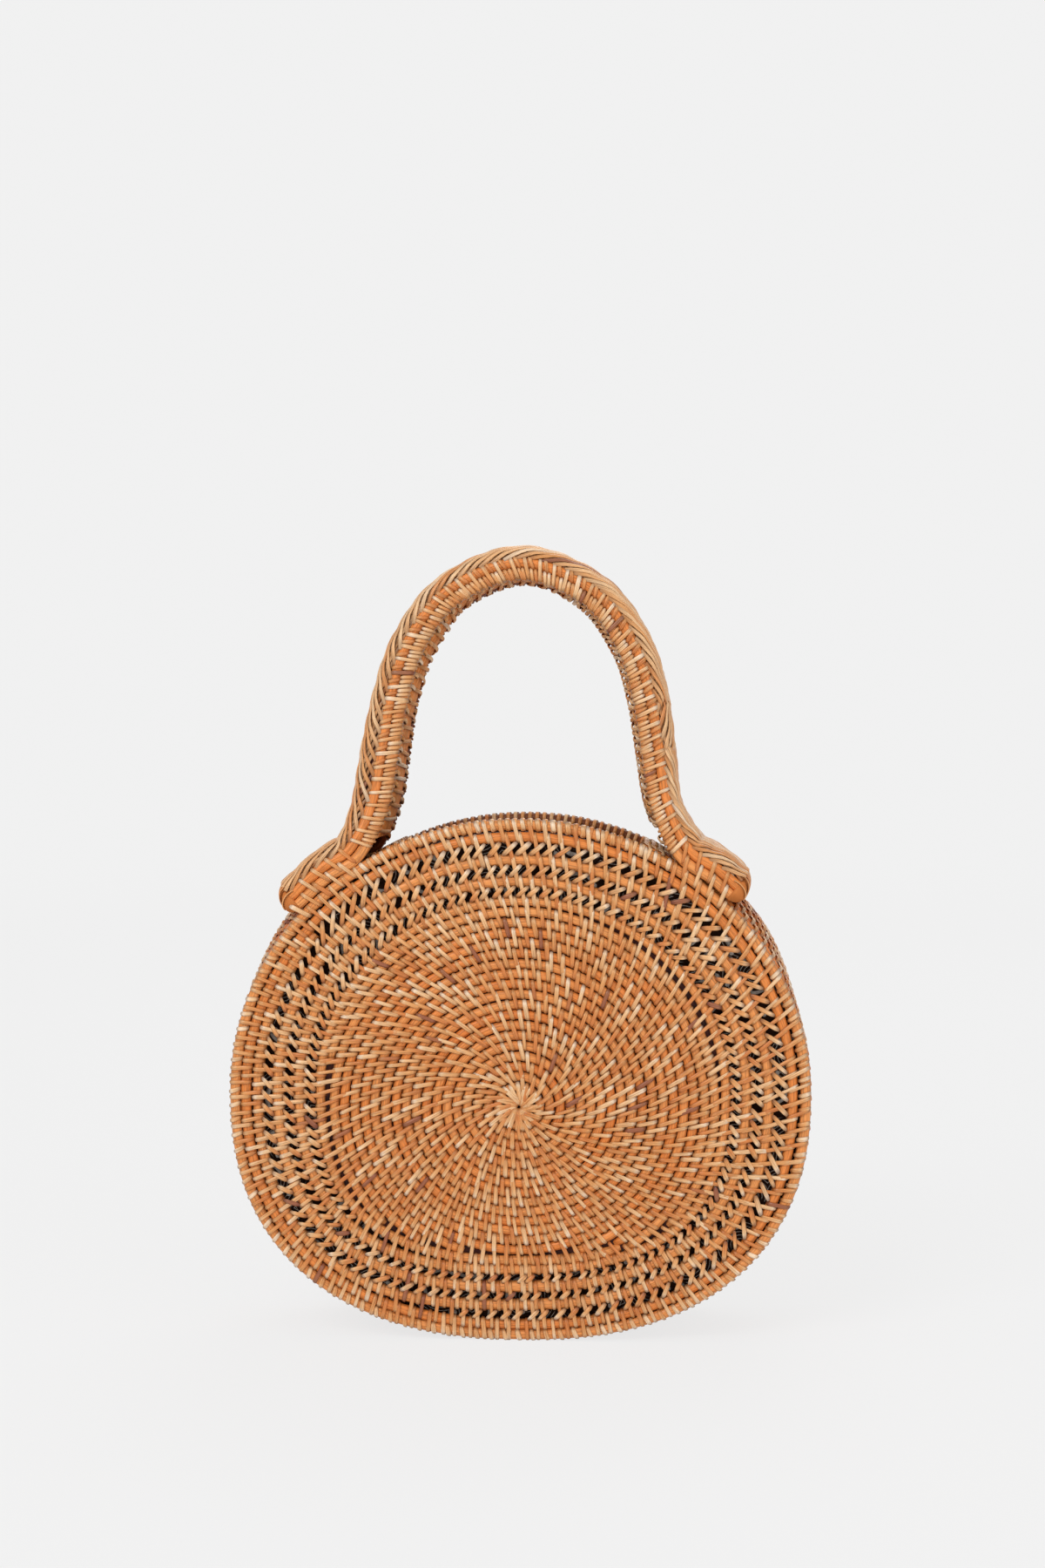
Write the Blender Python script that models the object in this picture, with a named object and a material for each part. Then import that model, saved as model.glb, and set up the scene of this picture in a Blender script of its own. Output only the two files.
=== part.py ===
"""A round rattan handbag with an arched top handle: two coiled cane panels, a cane gusset, a braided handle and a lining.

Metres, +Z up, the front panel faces -Y, and the bag stands on z = 0 with its middle over the origin."""

import math

import bmesh
import bpy
import numpy as np
from mathutils import Matrix, Vector

MM = 0.001

# Panel outline, an ellipse above the widest line and a squarer curve below it
PANEL_WIDTH = 280 * MM
PANEL_HEIGHT = 252 * MM
WIDEST_LINE_HEIGHT = 120 * MM
LOWER_SQUARENESS = 2.35
COIL_CENTRE_HEIGHT = 112.6 * MM

# Cane rods and the rows that they make, as insets of the rod's middle from the outline
BAG_DEPTH = 78.4 * MM
ROD_DIAMETER = 4.6 * MM
COIL_PITCH = 4.95 * MM
COIL_SQUEEZE = 0.07
COIL_PROUD = 0.3 * MM
COIL_GROOVE_DEPTH = 2.0 * MM
RIM_OUTER_INSET = 3.6 * MM
RIM_INNER_INSET = 9.7 * MM
OPEN_OUTER_INSET = 20.7 * MM
OPEN_INNER_INSET = 31.0 * MM
EDGE_ROD_INSET = 40.4 * MM
BOTTOM_SQUEEZE = 0.2
SEAT_GAP = 0.3 * MM
RING_POINTS = 28
COIL_STEPS = 22

# Lashing ties across the open rows, each standing for a group of knots
TIE_DIAMETER = 2.4 * MM
TIE_SIDES = 4

# Gusset, a band of canes laid side by side round the sides and bottom
GUSSET_CANES = 13
GUSSET_PROUD = 0.5 * MM
GUSSET_THICKNESS = 5.4 * MM
GUSSET_GROOVE_DEPTH = 1.7 * MM
GUSSET_STEPS = 28
SHOULDER_BULGE = 5.0 * MM
BULGE_START = 14 * MM
BULGE_RISE = 20 * MM
BULGE_HOLD = 62 * MM
BULGE_FADE = 60 * MM
MOUTH_HALF_WIDTH = 60 * MM

# Handle: the line between its outer and inner rods, from the apex down one leg, then along the rim
HANDLE_HEIGHT = 384 * MM
ANKLE_HALF_SPAN = 68.6 * MM
FOOT_START_REACH = 76.0 * MM
FOOT_MIDDLE_REACH = 90.5 * MM
TOE_REACH = 105.6 * MM
FOOT_LIFT = 5.5 * MM
HANDLE_ROD_DIAMETER = 4.8 * MM
HANDLE_ROD_PITCH = 5.5 * MM
BRAID_EDGE = 1.6 * MM
BRAID_DOME = 5.1 * MM
BRAID_FULLNESS = 4
BRAID_SHARES = (-1, -0.8, -0.5, 0, 0.5, 0.8, 1)
INNER_WEAVE_EDGE = 1.2 * MM
INNER_WEAVE_DOME = 1.6 * MM
FOOT_BINDING_LENGTH = 4.0 * MM
SHOULDER_CLEARANCE = 0.7 * MM
HANDLE_STEPS = 36
LEG_SHARES = [(0.0, 1.0), (0.488, 0.893), (0.758, 0.689), (0.872, 0.484), (0.933, 0.275), (1.0, 0.05)]
DEPTH_SHARES = [(0.0, 0.60), (0.44, 0.70), (0.69, 0.855), (0.815, 1.0), (1.0, 1.0)]
INNER_WEAVE_END_SHARE = 0.735

# Cloth lining
LINING_THICKNESS = 0.8 * MM
LINING_MOUTH_DROP = 2.5 * MM
LINING_CUT_ROOM = 1.0 * MM
HEM_WIDTH = 9 * MM
HEM_HALF_LENGTH = 54 * MM
HEM_STEPS = 12

# Sizes that follow from those above
ROD_RADIUS = ROD_DIAMETER / 2
HALF_WIDTH = PANEL_WIDTH / 2
UPPER_HEIGHT = PANEL_HEIGHT - WIDEST_LINE_HEIGHT
PANEL_PLANE = BAG_DEPTH / 2 - ROD_RADIUS
PANEL_BACK = PANEL_PLANE - ROD_RADIUS
GUSSET_HALF_DEPTH = PANEL_BACK - SEAT_GAP
HANDLE_ROD_RADIUS = HANDLE_ROD_DIAMETER / 2
HANDLE_HALF_THICKNESS = HANDLE_ROD_PITCH / 2 + HANDLE_ROD_RADIUS
BRAID_BASE = HANDLE_HALF_THICKNESS + SEAT_GAP
APEX_HEIGHT = HANDLE_HEIGHT - BRAID_BASE - BRAID_EDGE - BRAID_DOME
GUSSET_LINING_INSET = GUSSET_THICKNESS - GUSSET_PROUD + SEAT_GAP
LINING_INSET = GUSSET_LINING_INSET + LINING_CUT_ROOM

COLOURS = {
    "cane": (0.56, 0.22, 0.07),
    "lashing": (0.62, 0.33, 0.13),
    "core": (0.50, 0.25, 0.10),
    "braid": (0.60, 0.31, 0.13),
    "lining": (0.11, 0.06, 0.04),
    "hem": (0.14, 0.08, 0.05),
}
ROUGHNESS = {"cane": 0.42, "lashing": 0.36, "core": 0.6, "braid": 0.38, "lining": 0.9, "hem": 0.85}


# Scene and materials
def clear_scene():
    for obj in list(bpy.data.objects):
        bpy.data.objects.remove(obj, do_unlink=True)


def new_collection(name):
    collection = bpy.data.collections.new(name)
    bpy.context.scene.collection.children.link(collection)
    return collection


def finish_of(name, colour):
    material = bpy.data.materials.new(name)
    material.use_nodes = True
    shader = material.node_tree.nodes["Principled BSDF"]
    shader.inputs["Base Color"].default_value = (*COLOURS[colour], 1)
    shader.inputs["Roughness"].default_value = ROUGHNESS[colour]
    shader.inputs["Metallic"].default_value = 0
    return material


def add_object(name, data, colour, collection):
    obj = bpy.data.objects.new(name, data)
    collection.objects.link(obj)
    obj.data.materials.clear()
    obj.data.materials.append(finish_of(name, colour))
    return obj


# Plane curves, as arrays of (x, z) points with outward normals
def outline():
    """The panel's outline from the top round the +X side, dense enough to offset and resample."""
    theta = np.linspace(0, 2 * math.pi, 1440, endpoint=False)
    sine, cosine = np.sin(theta), np.cos(theta)
    power = 2 / LOWER_SQUARENESS
    lower = cosine < 0
    x = np.where(lower, np.sign(sine) * np.abs(sine) ** power, sine) * HALF_WIDTH
    below = -(np.abs(cosine) ** power) * WIDEST_LINE_HEIGHT
    z = WIDEST_LINE_HEIGHT + np.where(lower, below, cosine * UPPER_HEIGHT)
    points = np.stack([x, z], axis=1)
    return points, normals_of(points, closed=True)


def normals_of(points, closed):
    """Normals on the left of the way that the curve runs."""
    if closed:
        along = np.roll(points, -1, axis=0) - np.roll(points, 1, axis=0)
    else:
        along = np.gradient(points, axis=0)
    along /= np.linalg.norm(along, axis=1, keepdims=True)
    return np.stack([-along[:, 1], along[:, 0]], axis=1)


def lengths_along(points):
    steps = np.linalg.norm(np.diff(points, axis=0), axis=1)
    return np.concatenate([[0], np.cumsum(steps)])


def sample(points, at):
    """The points at these lengths along an open curve."""
    run = lengths_along(points)
    return np.stack([np.interp(at, run, points[:, k]) for k in range(points.shape[1])], axis=1)


def inset_ring(inset, count):
    """A closed ring inside the outline. Rows inside the rim draw together towards the bottom."""
    points, normals = outline()
    downward = np.clip(-normals[:, 1], 0, 1) ** 2
    past_rim = max(0.0, inset - RIM_INNER_INSET)
    depth = inset - past_rim * BOTTOM_SQUEEZE * downward
    ring = points - normals * depth[:, None]
    closed = np.vstack([ring, ring[:1]])
    run = lengths_along(closed)[-1]
    return sample(closed, np.arange(count) / count * run)


def smooth_curve(points, per_span=24):
    """A Catmull-Rom curve through the points."""
    points = np.asarray(points)
    padded = np.vstack([2 * points[0] - points[1], points, 2 * points[-1] - points[-2]])
    t = np.arange(per_span)[:, None] / per_span
    spans = []
    for a, b, c, d in zip(padded, padded[1:], padded[2:], padded[3:]):
        spans.append(
            0.5 * (2 * b + (c - a) * t + (2 * a - 5 * b + 4 * c - d) * t**2 + (3 * b - a - 3 * c + d) * t**3)
        )
    return np.vstack(spans + [points[-1:]])


def smooth_step(value):
    value = np.clip(value, 0, 1)
    return value * value * (3 - 2 * value)


# Gusset path and bulge
def gusset_path(count):
    """(points, normals, run from the nearer end) of the outline from mouth corner to mouth corner, round the bottom."""
    points, _ = outline()
    run = lengths_along(points)
    quarter = len(points) // 4
    first = np.interp(MOUTH_HALF_WIDTH, points[:quarter, 0], run[:quarter])
    whole = lengths_along(np.vstack([points, points[:1]]))[-1]
    at = np.linspace(first, whole - first, count)
    path = sample(np.vstack([points, points[:1]]), at)
    return path, normals_of(path, closed=False), np.minimum(at - first, whole - first - at)


def bulge_at(run):
    """How far the gusset swells at mid depth, by the distance from its nearer end."""
    rise = smooth_step((run - BULGE_START) / BULGE_RISE)
    fade = 1 - smooth_step((run - BULGE_HOLD) / BULGE_FADE)
    return SHOULDER_BULGE * rise * fade


def crown(y, half, fullness=2):
    return 1 - (np.asarray(y) / half) ** fullness


# Handle path
def handle_half_points():
    """Points from the apex down the +X leg and along the rim to the toe."""
    above_rim = APEX_HEIGHT - PANEL_HEIGHT
    leg = [(x * ANKLE_HALF_SPAN, PANEL_HEIGHT + z * above_rim) for x, z in LEG_SHARES]
    points, normals = outline()
    lifted = points + normals * FOOT_LIFT
    quarter = len(points) // 4
    foot = []
    for reach in (FOOT_START_REACH, FOOT_MIDDLE_REACH, TOE_REACH):
        k = int(np.argmin(np.abs(points[:quarter, 0] - reach)))
        foot.append(tuple(lifted[k]))
    return leg + foot


def handle_path(count, end_share=1.0):
    """(points, normals, share of the way from apex to toe) from the -X side over the apex to the +X side."""
    half = handle_half_points()
    whole = [(-x, z) for x, z in reversed(half[1:])] + half
    curve = smooth_curve(whole)
    length = lengths_along(curve)[-1]
    middle = length / 2
    at = middle + np.linspace(-middle, middle, count) * end_share
    points = sample(curve, at)
    fine = np.linspace(0, length, 900)
    curve_normals = normals_of(sample(curve, fine), closed=False)
    normals = np.stack([np.interp(at, fine, curve_normals[:, k]) for k in (0, 1)], axis=1)
    normals /= np.linalg.norm(normals, axis=1, keepdims=True)
    return points, normals, np.abs(at - middle) / middle


def handle_half_depth(share):
    """The handle rods' distance from the middle plane."""
    shares = np.array(DEPTH_SHARES)
    return smooth_between(share, shares[:, 0], shares[:, 1]) * PANEL_PLANE


def smooth_between(value, places, heights):
    curve = smooth_curve(np.stack([places, heights], axis=1), per_span=8)
    return np.interp(value, curve[:, 0], curve[:, 1])


# Solids
def place(point, normal, out, y):
    """The world point that lies this far out from a path point, at this depth."""
    x, z = point + normal * out
    return Vector((x, y, z))


def rod(name, points, radius, colour, collection, closed=False):
    curve = bpy.data.curves.new(name, "CURVE")
    curve.dimensions = "3D"
    curve.bevel_depth = radius
    curve.bevel_resolution = 1
    curve.use_fill_caps = not closed
    spline = curve.splines.new("POLY")
    spline.points.add(len(points) - 1)
    for target, point in zip(spline.points, points):
        target.co = (*point, 1)
    spline.use_cyclic_u = closed
    return add_object(name, curve, colour, collection)


def loft(name, rings, colour, collection):
    """A closed body through sections that have the same number of points."""
    mesh = bmesh.new()
    rows = [[mesh.verts.new(point) for point in ring] for ring in rings]
    count = len(rows[0])
    for near, far in zip(rows, rows[1:]):
        for k in range(count):
            n = (k + 1) % count
            mesh.faces.new((near[k], near[n], far[n], far[k]))
    mesh.faces.new(reversed(rows[0]))
    mesh.faces.new(rows[-1])
    bmesh.ops.triangulate(mesh, faces=[face for face in mesh.faces if len(face.verts) > 4])
    bmesh.ops.recalc_face_normals(mesh, faces=mesh.faces)
    data = bpy.data.meshes.new(name)
    mesh.to_mesh(data)
    mesh.free()
    obj = add_object(name, data, colour, collection)
    data.shade_smooth()
    data.set_sharp_from_angle(angle=math.radians(40))
    return obj


def plate(name, points, y, thickness, colour, collection):
    """A flat plate of this outline, its middle at depth y."""
    curve = bpy.data.curves.new(name, "CURVE")
    curve.dimensions = "2D"
    curve.fill_mode = "BOTH"
    curve.extrude = thickness / 2
    spline = curve.splines.new("POLY")
    spline.points.add(len(points) - 1)
    for target, (x, z) in zip(spline.points, points):
        target.co = (x, z, 0, 1)
    spline.use_cyclic_u = True
    obj = add_object(name, curve, colour, collection)
    obj.rotation_euler = (math.pi / 2, 0, 0)
    obj.location = (0, y, 0)
    return obj


def as_mesh(obj, collection):
    """The object with its curve and modifiers made a welded mesh, in world space."""
    bpy.context.view_layer.update()
    graph = bpy.context.evaluated_depsgraph_get()
    data = bpy.data.meshes.new_from_object(obj.evaluated_get(graph))
    data.transform(obj.matrix_world)
    welded = bmesh.new()
    welded.from_mesh(data)
    bmesh.ops.remove_doubles(welded, verts=welded.verts, dist=SEAT_GAP / 100)
    bmesh.ops.recalc_face_normals(welded, faces=welded.faces)
    welded.to_mesh(data)
    welded.free()
    name = obj.name
    old = obj.data
    bpy.data.objects.remove(obj, do_unlink=True)
    data.name = name
    fresh = bpy.data.objects.new(name, data)
    collection.objects.link(fresh)
    if isinstance(old, bpy.types.Curve):
        bpy.data.curves.remove(old)
    return fresh


def as_helper(obj):
    obj.hide_render = True
    obj.display_type = "WIRE"
    return obj


def boolean(obj, other, operation):
    modifier = obj.modifiers.new(operation.lower(), "BOOLEAN")
    modifier.operation = operation
    modifier.solver = "EXACT"
    modifier.object = other
    return modifier


# Panels
def coil_disc(side, turn, bag, helpers):
    """The coiled disc: a ridge for each turn, closer below the centre, inside a last rod that follows the edge."""
    last_rod_reach = np.linalg.norm(inset_ring(EDGE_ROD_INSET, RING_POINTS) - (0, COIL_CENTRE_HEIGHT), axis=1)
    rows = math.ceil(last_rod_reach.max() / COIL_PITCH)
    crest = ROD_RADIUS + COIL_PROUD
    profile = [(COIL_PITCH / 4, crest)]
    for row in range(rows):
        profile.append(((row + 0.5) * COIL_PITCH, crest - COIL_GROOVE_DEPTH))
        profile.append(((row + 1) * COIL_PITCH, crest))
    profile.append((rows * COIL_PITCH, -ROD_RADIUS))
    angle = np.arange(COIL_STEPS) / COIL_STEPS * 2 * math.pi
    across, up = np.sin(angle), np.cos(angle)
    squeeze = 1 - COIL_SQUEEZE * np.clip(-up, 0, 1) ** 2
    rings = []
    for radius, proud in profile:
        plane = zip(across * squeeze * radius, COIL_CENTRE_HEIGHT + up * squeeze * radius)
        rings.append([turn @ Vector((x, -PANEL_PLANE - proud, z)) for x, z in plane])
    disc = loft(side + "_coil_disc", rings, "cane", bag)
    cut_inset = EDGE_ROD_INSET + ROD_RADIUS / 3
    edge = plate(side + "_disc_edge", inset_ring(cut_inset, RING_POINTS), -PANEL_PLANE, BAG_DEPTH / 4, "cane", helpers)
    edge.matrix_world = turn @ edge.matrix_basis
    boolean(disc, as_helper(as_mesh(edge, helpers)), "INTERSECT")
    last_rod = ring_rod(side + "_disc_last_rod", EDGE_ROD_INSET, turn, helpers)
    boolean(disc, as_helper(as_mesh(last_rod, helpers)), "UNION")
    return disc


def ring_rod(name, inset, turn, bag):
    ring = [turn @ Vector((x, -PANEL_PLANE, z)) for x, z in inset_ring(inset, RING_POINTS)]
    return rod(name, ring, ROD_RADIUS, "cane", bag, closed=True)


def open_rod(name, inset, from_inset, short_in, to_inset, short_out, turn, bag, helpers):
    """A rod of the open rows, with the lashing ties that cross the gaps beside it, one at every other bend."""
    ring = as_mesh(ring_rod(name, inset, turn, bag), bag)
    ties = bmesh.new()
    starts = inset_ring(from_inset, RING_POINTS)[::2]
    ends = inset_ring(to_inset, RING_POINTS)[::2]
    for (x_in, z_in), (x_out, z_out) in zip(starts, ends):
        start = turn @ Vector((x_in, -PANEL_PLANE, z_in))
        end = turn @ Vector((x_out, -PANEL_PLANE, z_out))
        along = (end - start).normalized()
        start += along * short_in
        end -= along * short_out
        place_tie = Matrix.Translation((start + end) / 2) @ along.to_track_quat("Z", "Y").to_matrix().to_4x4()
        bmesh.ops.create_cone(
            ties,
            cap_ends=True,
            segments=TIE_SIDES,
            radius1=TIE_DIAMETER / 2,
            radius2=TIE_DIAMETER / 2,
            depth=(end - start).length,
            matrix=place_tie,
        )
    data = bpy.data.meshes.new(name + "_ties")
    ties.to_mesh(data)
    ties.free()
    boolean(ring, as_helper(add_object(name + "_ties", data, "lashing", helpers)), "UNION")
    return ring


def panel(side, turn, bag, helpers):
    coil_disc(side, turn, bag, helpers)
    beside_rod = ROD_RADIUS + SEAT_GAP
    rows = (
        ("_open_rod_inner", OPEN_INNER_INSET, EDGE_ROD_INSET, beside_rod, OPEN_OUTER_INSET, beside_rod),
        ("_open_rod_outer", OPEN_OUTER_INSET, OPEN_OUTER_INSET, 0, RIM_INNER_INSET, beside_rod),
    )
    for name, *reach in rows:
        open_rod(side + name, *reach, turn, bag, helpers)
    ring_rod(side + "_rim_rod_inner", RIM_INNER_INSET, turn, bag)
    ring_rod(side + "_rim_rod_outer", RIM_OUTER_INSET, turn, bag)


# Gusset and lining
def gusset(bag, helpers):
    """The band of canes, one ridge for each, its bottom cut flat to stand on."""
    path, normals, run = gusset_path(GUSSET_STEPS)
    pitch = 2 * GUSSET_HALF_DEPTH / GUSSET_CANES
    ridge = []
    for cane in range(GUSSET_CANES):
        left = -GUSSET_HALF_DEPTH + cane * pitch
        ridge.append((left, GUSSET_PROUD - GUSSET_GROOVE_DEPTH))
        ridge.append((left + pitch / 2, GUSSET_PROUD))
    ridge.append((GUSSET_HALF_DEPTH, GUSSET_PROUD - GUSSET_GROOVE_DEPTH))
    inner = [(y, GUSSET_PROUD - GUSSET_THICKNESS) for y in np.linspace(GUSSET_HALF_DEPTH, -GUSSET_HALF_DEPTH, 5)]
    section = ridge + inner
    rings = []
    for point, normal, at in zip(path, normals, run):
        swell = bulge_at(at)
        rings.append(
            [place(point, normal, out + swell * crown(y, GUSSET_HALF_DEPTH), y) for y, out in section]
        )
    band = loft("gusset_band", rings, "cane", bag)
    cut = bmesh.new()
    bmesh.ops.create_cube(
        cut,
        size=1,
        matrix=Matrix.Translation((0, 0, -HALF_WIDTH / 2)) @ Matrix.Diagonal((PANEL_WIDTH, PANEL_WIDTH, HALF_WIDTH, 1)),
    )
    data = bpy.data.meshes.new("standing_plane")
    cut.to_mesh(data)
    cut.free()
    boolean(band, as_helper(add_object("standing_plane", data, "cane", helpers)), "DIFFERENCE")
    return band


def gusset_lining(bag):
    """The lining's long strip, stretched flat from panel to panel inside the gusset."""
    path, normals, _ = gusset_path(GUSSET_STEPS)
    half = GUSSET_HALF_DEPTH - LINING_THICKNESS - SEAT_GAP
    outer, inner = -GUSSET_LINING_INSET, -GUSSET_LINING_INSET - LINING_THICKNESS
    section = [(-half, outer), (half, outer), (half, inner), (-half, inner)]
    rings = [[place(point, normal, out, y) for y, out in section] for point, normal in zip(path, normals)]
    return loft("gusset_lining", rings, "lining", bag)


def lining_outline():
    """The lining's cut: under the gusset's inner face, and a little below the rim at the mouth."""
    ring = inset_ring(LINING_INSET, RING_POINTS)
    lowest_top = PANEL_HEIGHT - LINING_INSET - LINING_MOUTH_DROP
    ring[:, 1] = np.minimum(ring[:, 1], lowest_top)
    return ring


def panel_lining(side, facing, bag):
    y = facing * (GUSSET_HALF_DEPTH - LINING_THICKNESS / 2)
    return plate(side + "_lining", lining_outline(), y, LINING_THICKNESS, "lining", bag)


def lining_hem(side, facing, bag):
    """The folded edge sewn along one side of the mouth."""
    points, normals = outline()
    quarter = len(points) // 4
    right = points[:quarter] - normals[:quarter] * (LINING_INSET + LINING_MOUTH_DROP)
    x = np.linspace(-HEM_HALF_LENGTH, HEM_HALF_LENGTH, HEM_STEPS)
    top = np.interp(np.abs(x), right[:, 0], right[:, 1])
    upper = list(zip(x, top))
    lower = [(at, height - HEM_WIDTH) for at, height in reversed(upper)]
    y = facing * (GUSSET_HALF_DEPTH - LINING_THICKNESS - SEAT_GAP - LINING_THICKNESS / 2)
    return plate(side + "_lining_hem", upper + lower, y, LINING_THICKNESS, "hem", bag)


# Handle
def handle_rod(name, facing, out, bag):
    points, normals, share = handle_path(HANDLE_STEPS)
    depth = facing * handle_half_depth(share)
    route = [place(p, n, out, y) for p, n, y in zip(points, normals, depth)]
    return rod(name, route, HANDLE_ROD_RADIUS, "cane", bag)


def core_floor(point):
    """How far out of the handle's middle line the core's underside lies: it lifts over the gusset's shoulder."""
    path, normals, run = gusset_path(400)
    nearest = int(np.argmin(np.linalg.norm(path - point, axis=1)))
    height = float(np.dot(point - path[nearest], normals[nearest]))
    clear = GUSSET_PROUD + float(bulge_at(run[nearest])) + SHOULDER_CLEARANCE - height
    return max(-HANDLE_HALF_THICKNESS, clear)


def handle_core(bag):
    """The canes under the braid, between the front and back rods."""
    points, normals, share = handle_path(HANDLE_STEPS)
    rings = []
    for point, normal, y in zip(points, normals, handle_half_depth(share)):
        half = y - HANDLE_ROD_RADIUS - SEAT_GAP
        low, high = core_floor(point), HANDLE_HALF_THICKNESS
        corners = [(-half, low), (half, low), (half, high), (-half, high)]
        rings.append([place(point, normal, out, at) for at, out in corners])
    return loft("handle_core", rings, "core", bag)


def braid_top(half):
    """(depth, out) of the braid's crowned outer side, from its back edge to its front edge."""
    return [
        (share * half, BRAID_BASE + BRAID_EDGE + BRAID_DOME * crown(share, 1, BRAID_FULLNESS))
        for share in BRAID_SHARES[::-1]
    ]


def handle_braid(bag):
    """The herringbone braid over the outer side, crowned across its width."""
    points, normals, share = handle_path(HANDLE_STEPS)
    rings = []
    for point, normal, y in zip(points, normals, handle_half_depth(share)):
        half = y + HANDLE_ROD_RADIUS
        section = [(-half, BRAID_BASE), (half, BRAID_BASE)] + braid_top(half)
        rings.append([place(point, normal, out, at) for at, out in section])
    return loft("handle_outer_braid", rings, "braid", bag)


def handle_inner_weave(bag):
    points, normals, share = handle_path(HANDLE_STEPS, INNER_WEAVE_END_SHARE)
    rings = []
    for point, normal, y in zip(points, normals, handle_half_depth(share)):
        half = y - HANDLE_ROD_RADIUS - SEAT_GAP
        across = np.linspace(-half, half, 5)
        base = -HANDLE_HALF_THICKNESS - SEAT_GAP
        under = [(at, base - INNER_WEAVE_EDGE - INNER_WEAVE_DOME * crown(at, half)) for at in across]
        section = under + [(half, base), (-half, base)]
        rings.append([place(point, normal, out, at) for at, out in section])
    return loft("handle_inner_weave", rings, "braid", bag)


def foot_binding(side, mirror, bag):
    """The yoke that closes the free end of a foot, bridging over the gusset's shoulder."""
    points, normals, share = handle_path(HANDLE_STEPS)
    toe, normal = points[-1], normals[-1]
    along = np.array([normal[1], -normal[0]])
    half = PANEL_PLANE + HANDLE_ROD_RADIUS
    notch_half = GUSSET_HALF_DEPTH + SEAT_GAP
    notch_top = core_floor(toe) + SEAT_GAP
    across = np.linspace(half, -half, 9)
    section = [(at, BRAID_BASE + BRAID_EDGE + BRAID_DOME * crown(at, half)) for at in across]
    foot = -HANDLE_HALF_THICKNESS
    section += [(-half, foot), (-notch_half, foot), (-notch_half, notch_top)]
    section += [(notch_half, notch_top), (notch_half, foot), (half, foot)]
    rings = []
    for reach in (SEAT_GAP, SEAT_GAP + FOOT_BINDING_LENGTH):
        ring = []
        for y, out in section:
            x, z = toe + along * reach + normal * out
            ring.append((mirror * x, y, z))
        rings.append(ring)
    return loft(side + "_foot_binding", rings, "braid", bag)


def build():
    clear_scene()
    bag = new_collection("rattan_handbag")
    helpers = new_collection("cutters")
    panel("front", Matrix.Identity(4), bag, helpers)
    panel("back", Matrix.Rotation(math.pi, 4, "Z"), bag, helpers)
    gusset(bag, helpers)
    gusset_lining(bag)
    for side, facing in (("front", -1), ("back", 1)):
        panel_lining(side, facing, bag)
        lining_hem(side, facing, bag)
        handle_rod("handle_" + side + "_outer_rod", facing, HANDLE_ROD_PITCH / 2, bag)
        handle_rod("handle_" + side + "_inner_rod", facing, -HANDLE_ROD_PITCH / 2, bag)
    handle_core(bag)
    handle_braid(bag)
    handle_inner_weave(bag)
    foot_binding("left", -1, bag)
    foot_binding("right", 1, bag)


build()
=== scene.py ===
"""The looks of a rattan top handle bag: woven cane panels, a braided handle, a printed lining and the stage.

Lengths are in metres, +Z is up, the front panel faces -Y and the bag stands on z = 0."""

import math

import bmesh
import bpy
import numpy as np
from mathutils import Matrix, Vector


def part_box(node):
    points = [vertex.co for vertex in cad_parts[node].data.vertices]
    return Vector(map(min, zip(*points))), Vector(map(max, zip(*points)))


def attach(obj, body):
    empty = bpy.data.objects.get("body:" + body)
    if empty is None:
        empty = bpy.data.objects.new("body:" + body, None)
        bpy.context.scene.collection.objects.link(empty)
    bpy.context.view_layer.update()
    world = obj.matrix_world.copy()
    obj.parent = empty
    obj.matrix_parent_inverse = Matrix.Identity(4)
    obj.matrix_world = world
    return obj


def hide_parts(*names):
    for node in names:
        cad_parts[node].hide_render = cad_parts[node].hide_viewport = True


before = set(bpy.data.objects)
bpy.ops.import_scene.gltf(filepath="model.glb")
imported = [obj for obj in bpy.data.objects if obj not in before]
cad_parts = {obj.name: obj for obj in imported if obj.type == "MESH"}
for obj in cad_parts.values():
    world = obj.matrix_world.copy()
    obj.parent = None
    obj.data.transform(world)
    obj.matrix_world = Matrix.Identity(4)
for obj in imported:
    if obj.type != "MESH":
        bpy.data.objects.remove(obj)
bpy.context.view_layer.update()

bl_info = {
    "name": "Rattan Handbag Looks",
    "version": (1, 0, 0),
    "blender": (4, 5, 0),
    "location": "3D View > Sidebar > Rattan Bag",
    "description": "Weaves the cane, braids the handle, lays the lining and sets the stage round the frame",
    "category": "Object",
}

MM = 0.001

# Panels and their rows
PANEL_WIDTH = 280 * MM
PANEL_HEIGHT = 252 * MM
WIDEST_LINE_HEIGHT = 120 * MM
LOWER_SQUARENESS = 2.35
BOTTOM_SQUEEZE = 0.2
COIL_CENTRE = (0, 112.6 * MM)
COIL_ROWS = 19
COIL_SQUEEZE = 0.07
RIM_INNER_INSET = 9.7 * MM
OPEN_OUTER_INSET = 20.7 * MM
OPEN_GAP = 8.2 * MM
MOUTH_HALF_WIDTH = 60 * MM
LINE_STEPS = 260
FORWARD = (0.0, -1.0, 0.0)
BACKWARD = (0.0, 1.0, 0.0)
ROD_TONES = (0.2, 0.9)

# Gusset, with its swell at the shoulders by the way from the mouth
GUSSET_CANES = 13
SHOULDER_BULGE = 5.0 * MM
BULGE_START = 14 * MM
BULGE_RISE = 20 * MM
BULGE_HOLD = 62 * MM
BULGE_FADE = 60 * MM

# Handle's line, with its legs as shares of the ankles' half span and of the height over the panel
APEX_HEIGHT = 371.85 * MM
ANKLE_HALF_SPAN = 68.6 * MM
LEG_SHARES = [(0.0, 1.0), (0.488, 0.893), (0.758, 0.689), (0.872, 0.484), (0.933, 0.275), (1.0, 0.05)]
FOOT_REACHES = (76.0 * MM, 90.5 * MM)
FOOT_INNER_REACH = 77 * MM
LEFT_TOE_REACH = 104.5 * MM
RIGHT_TOE_REACH = 99 * MM
FOOT_LIFT = 5.5 * MM
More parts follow.
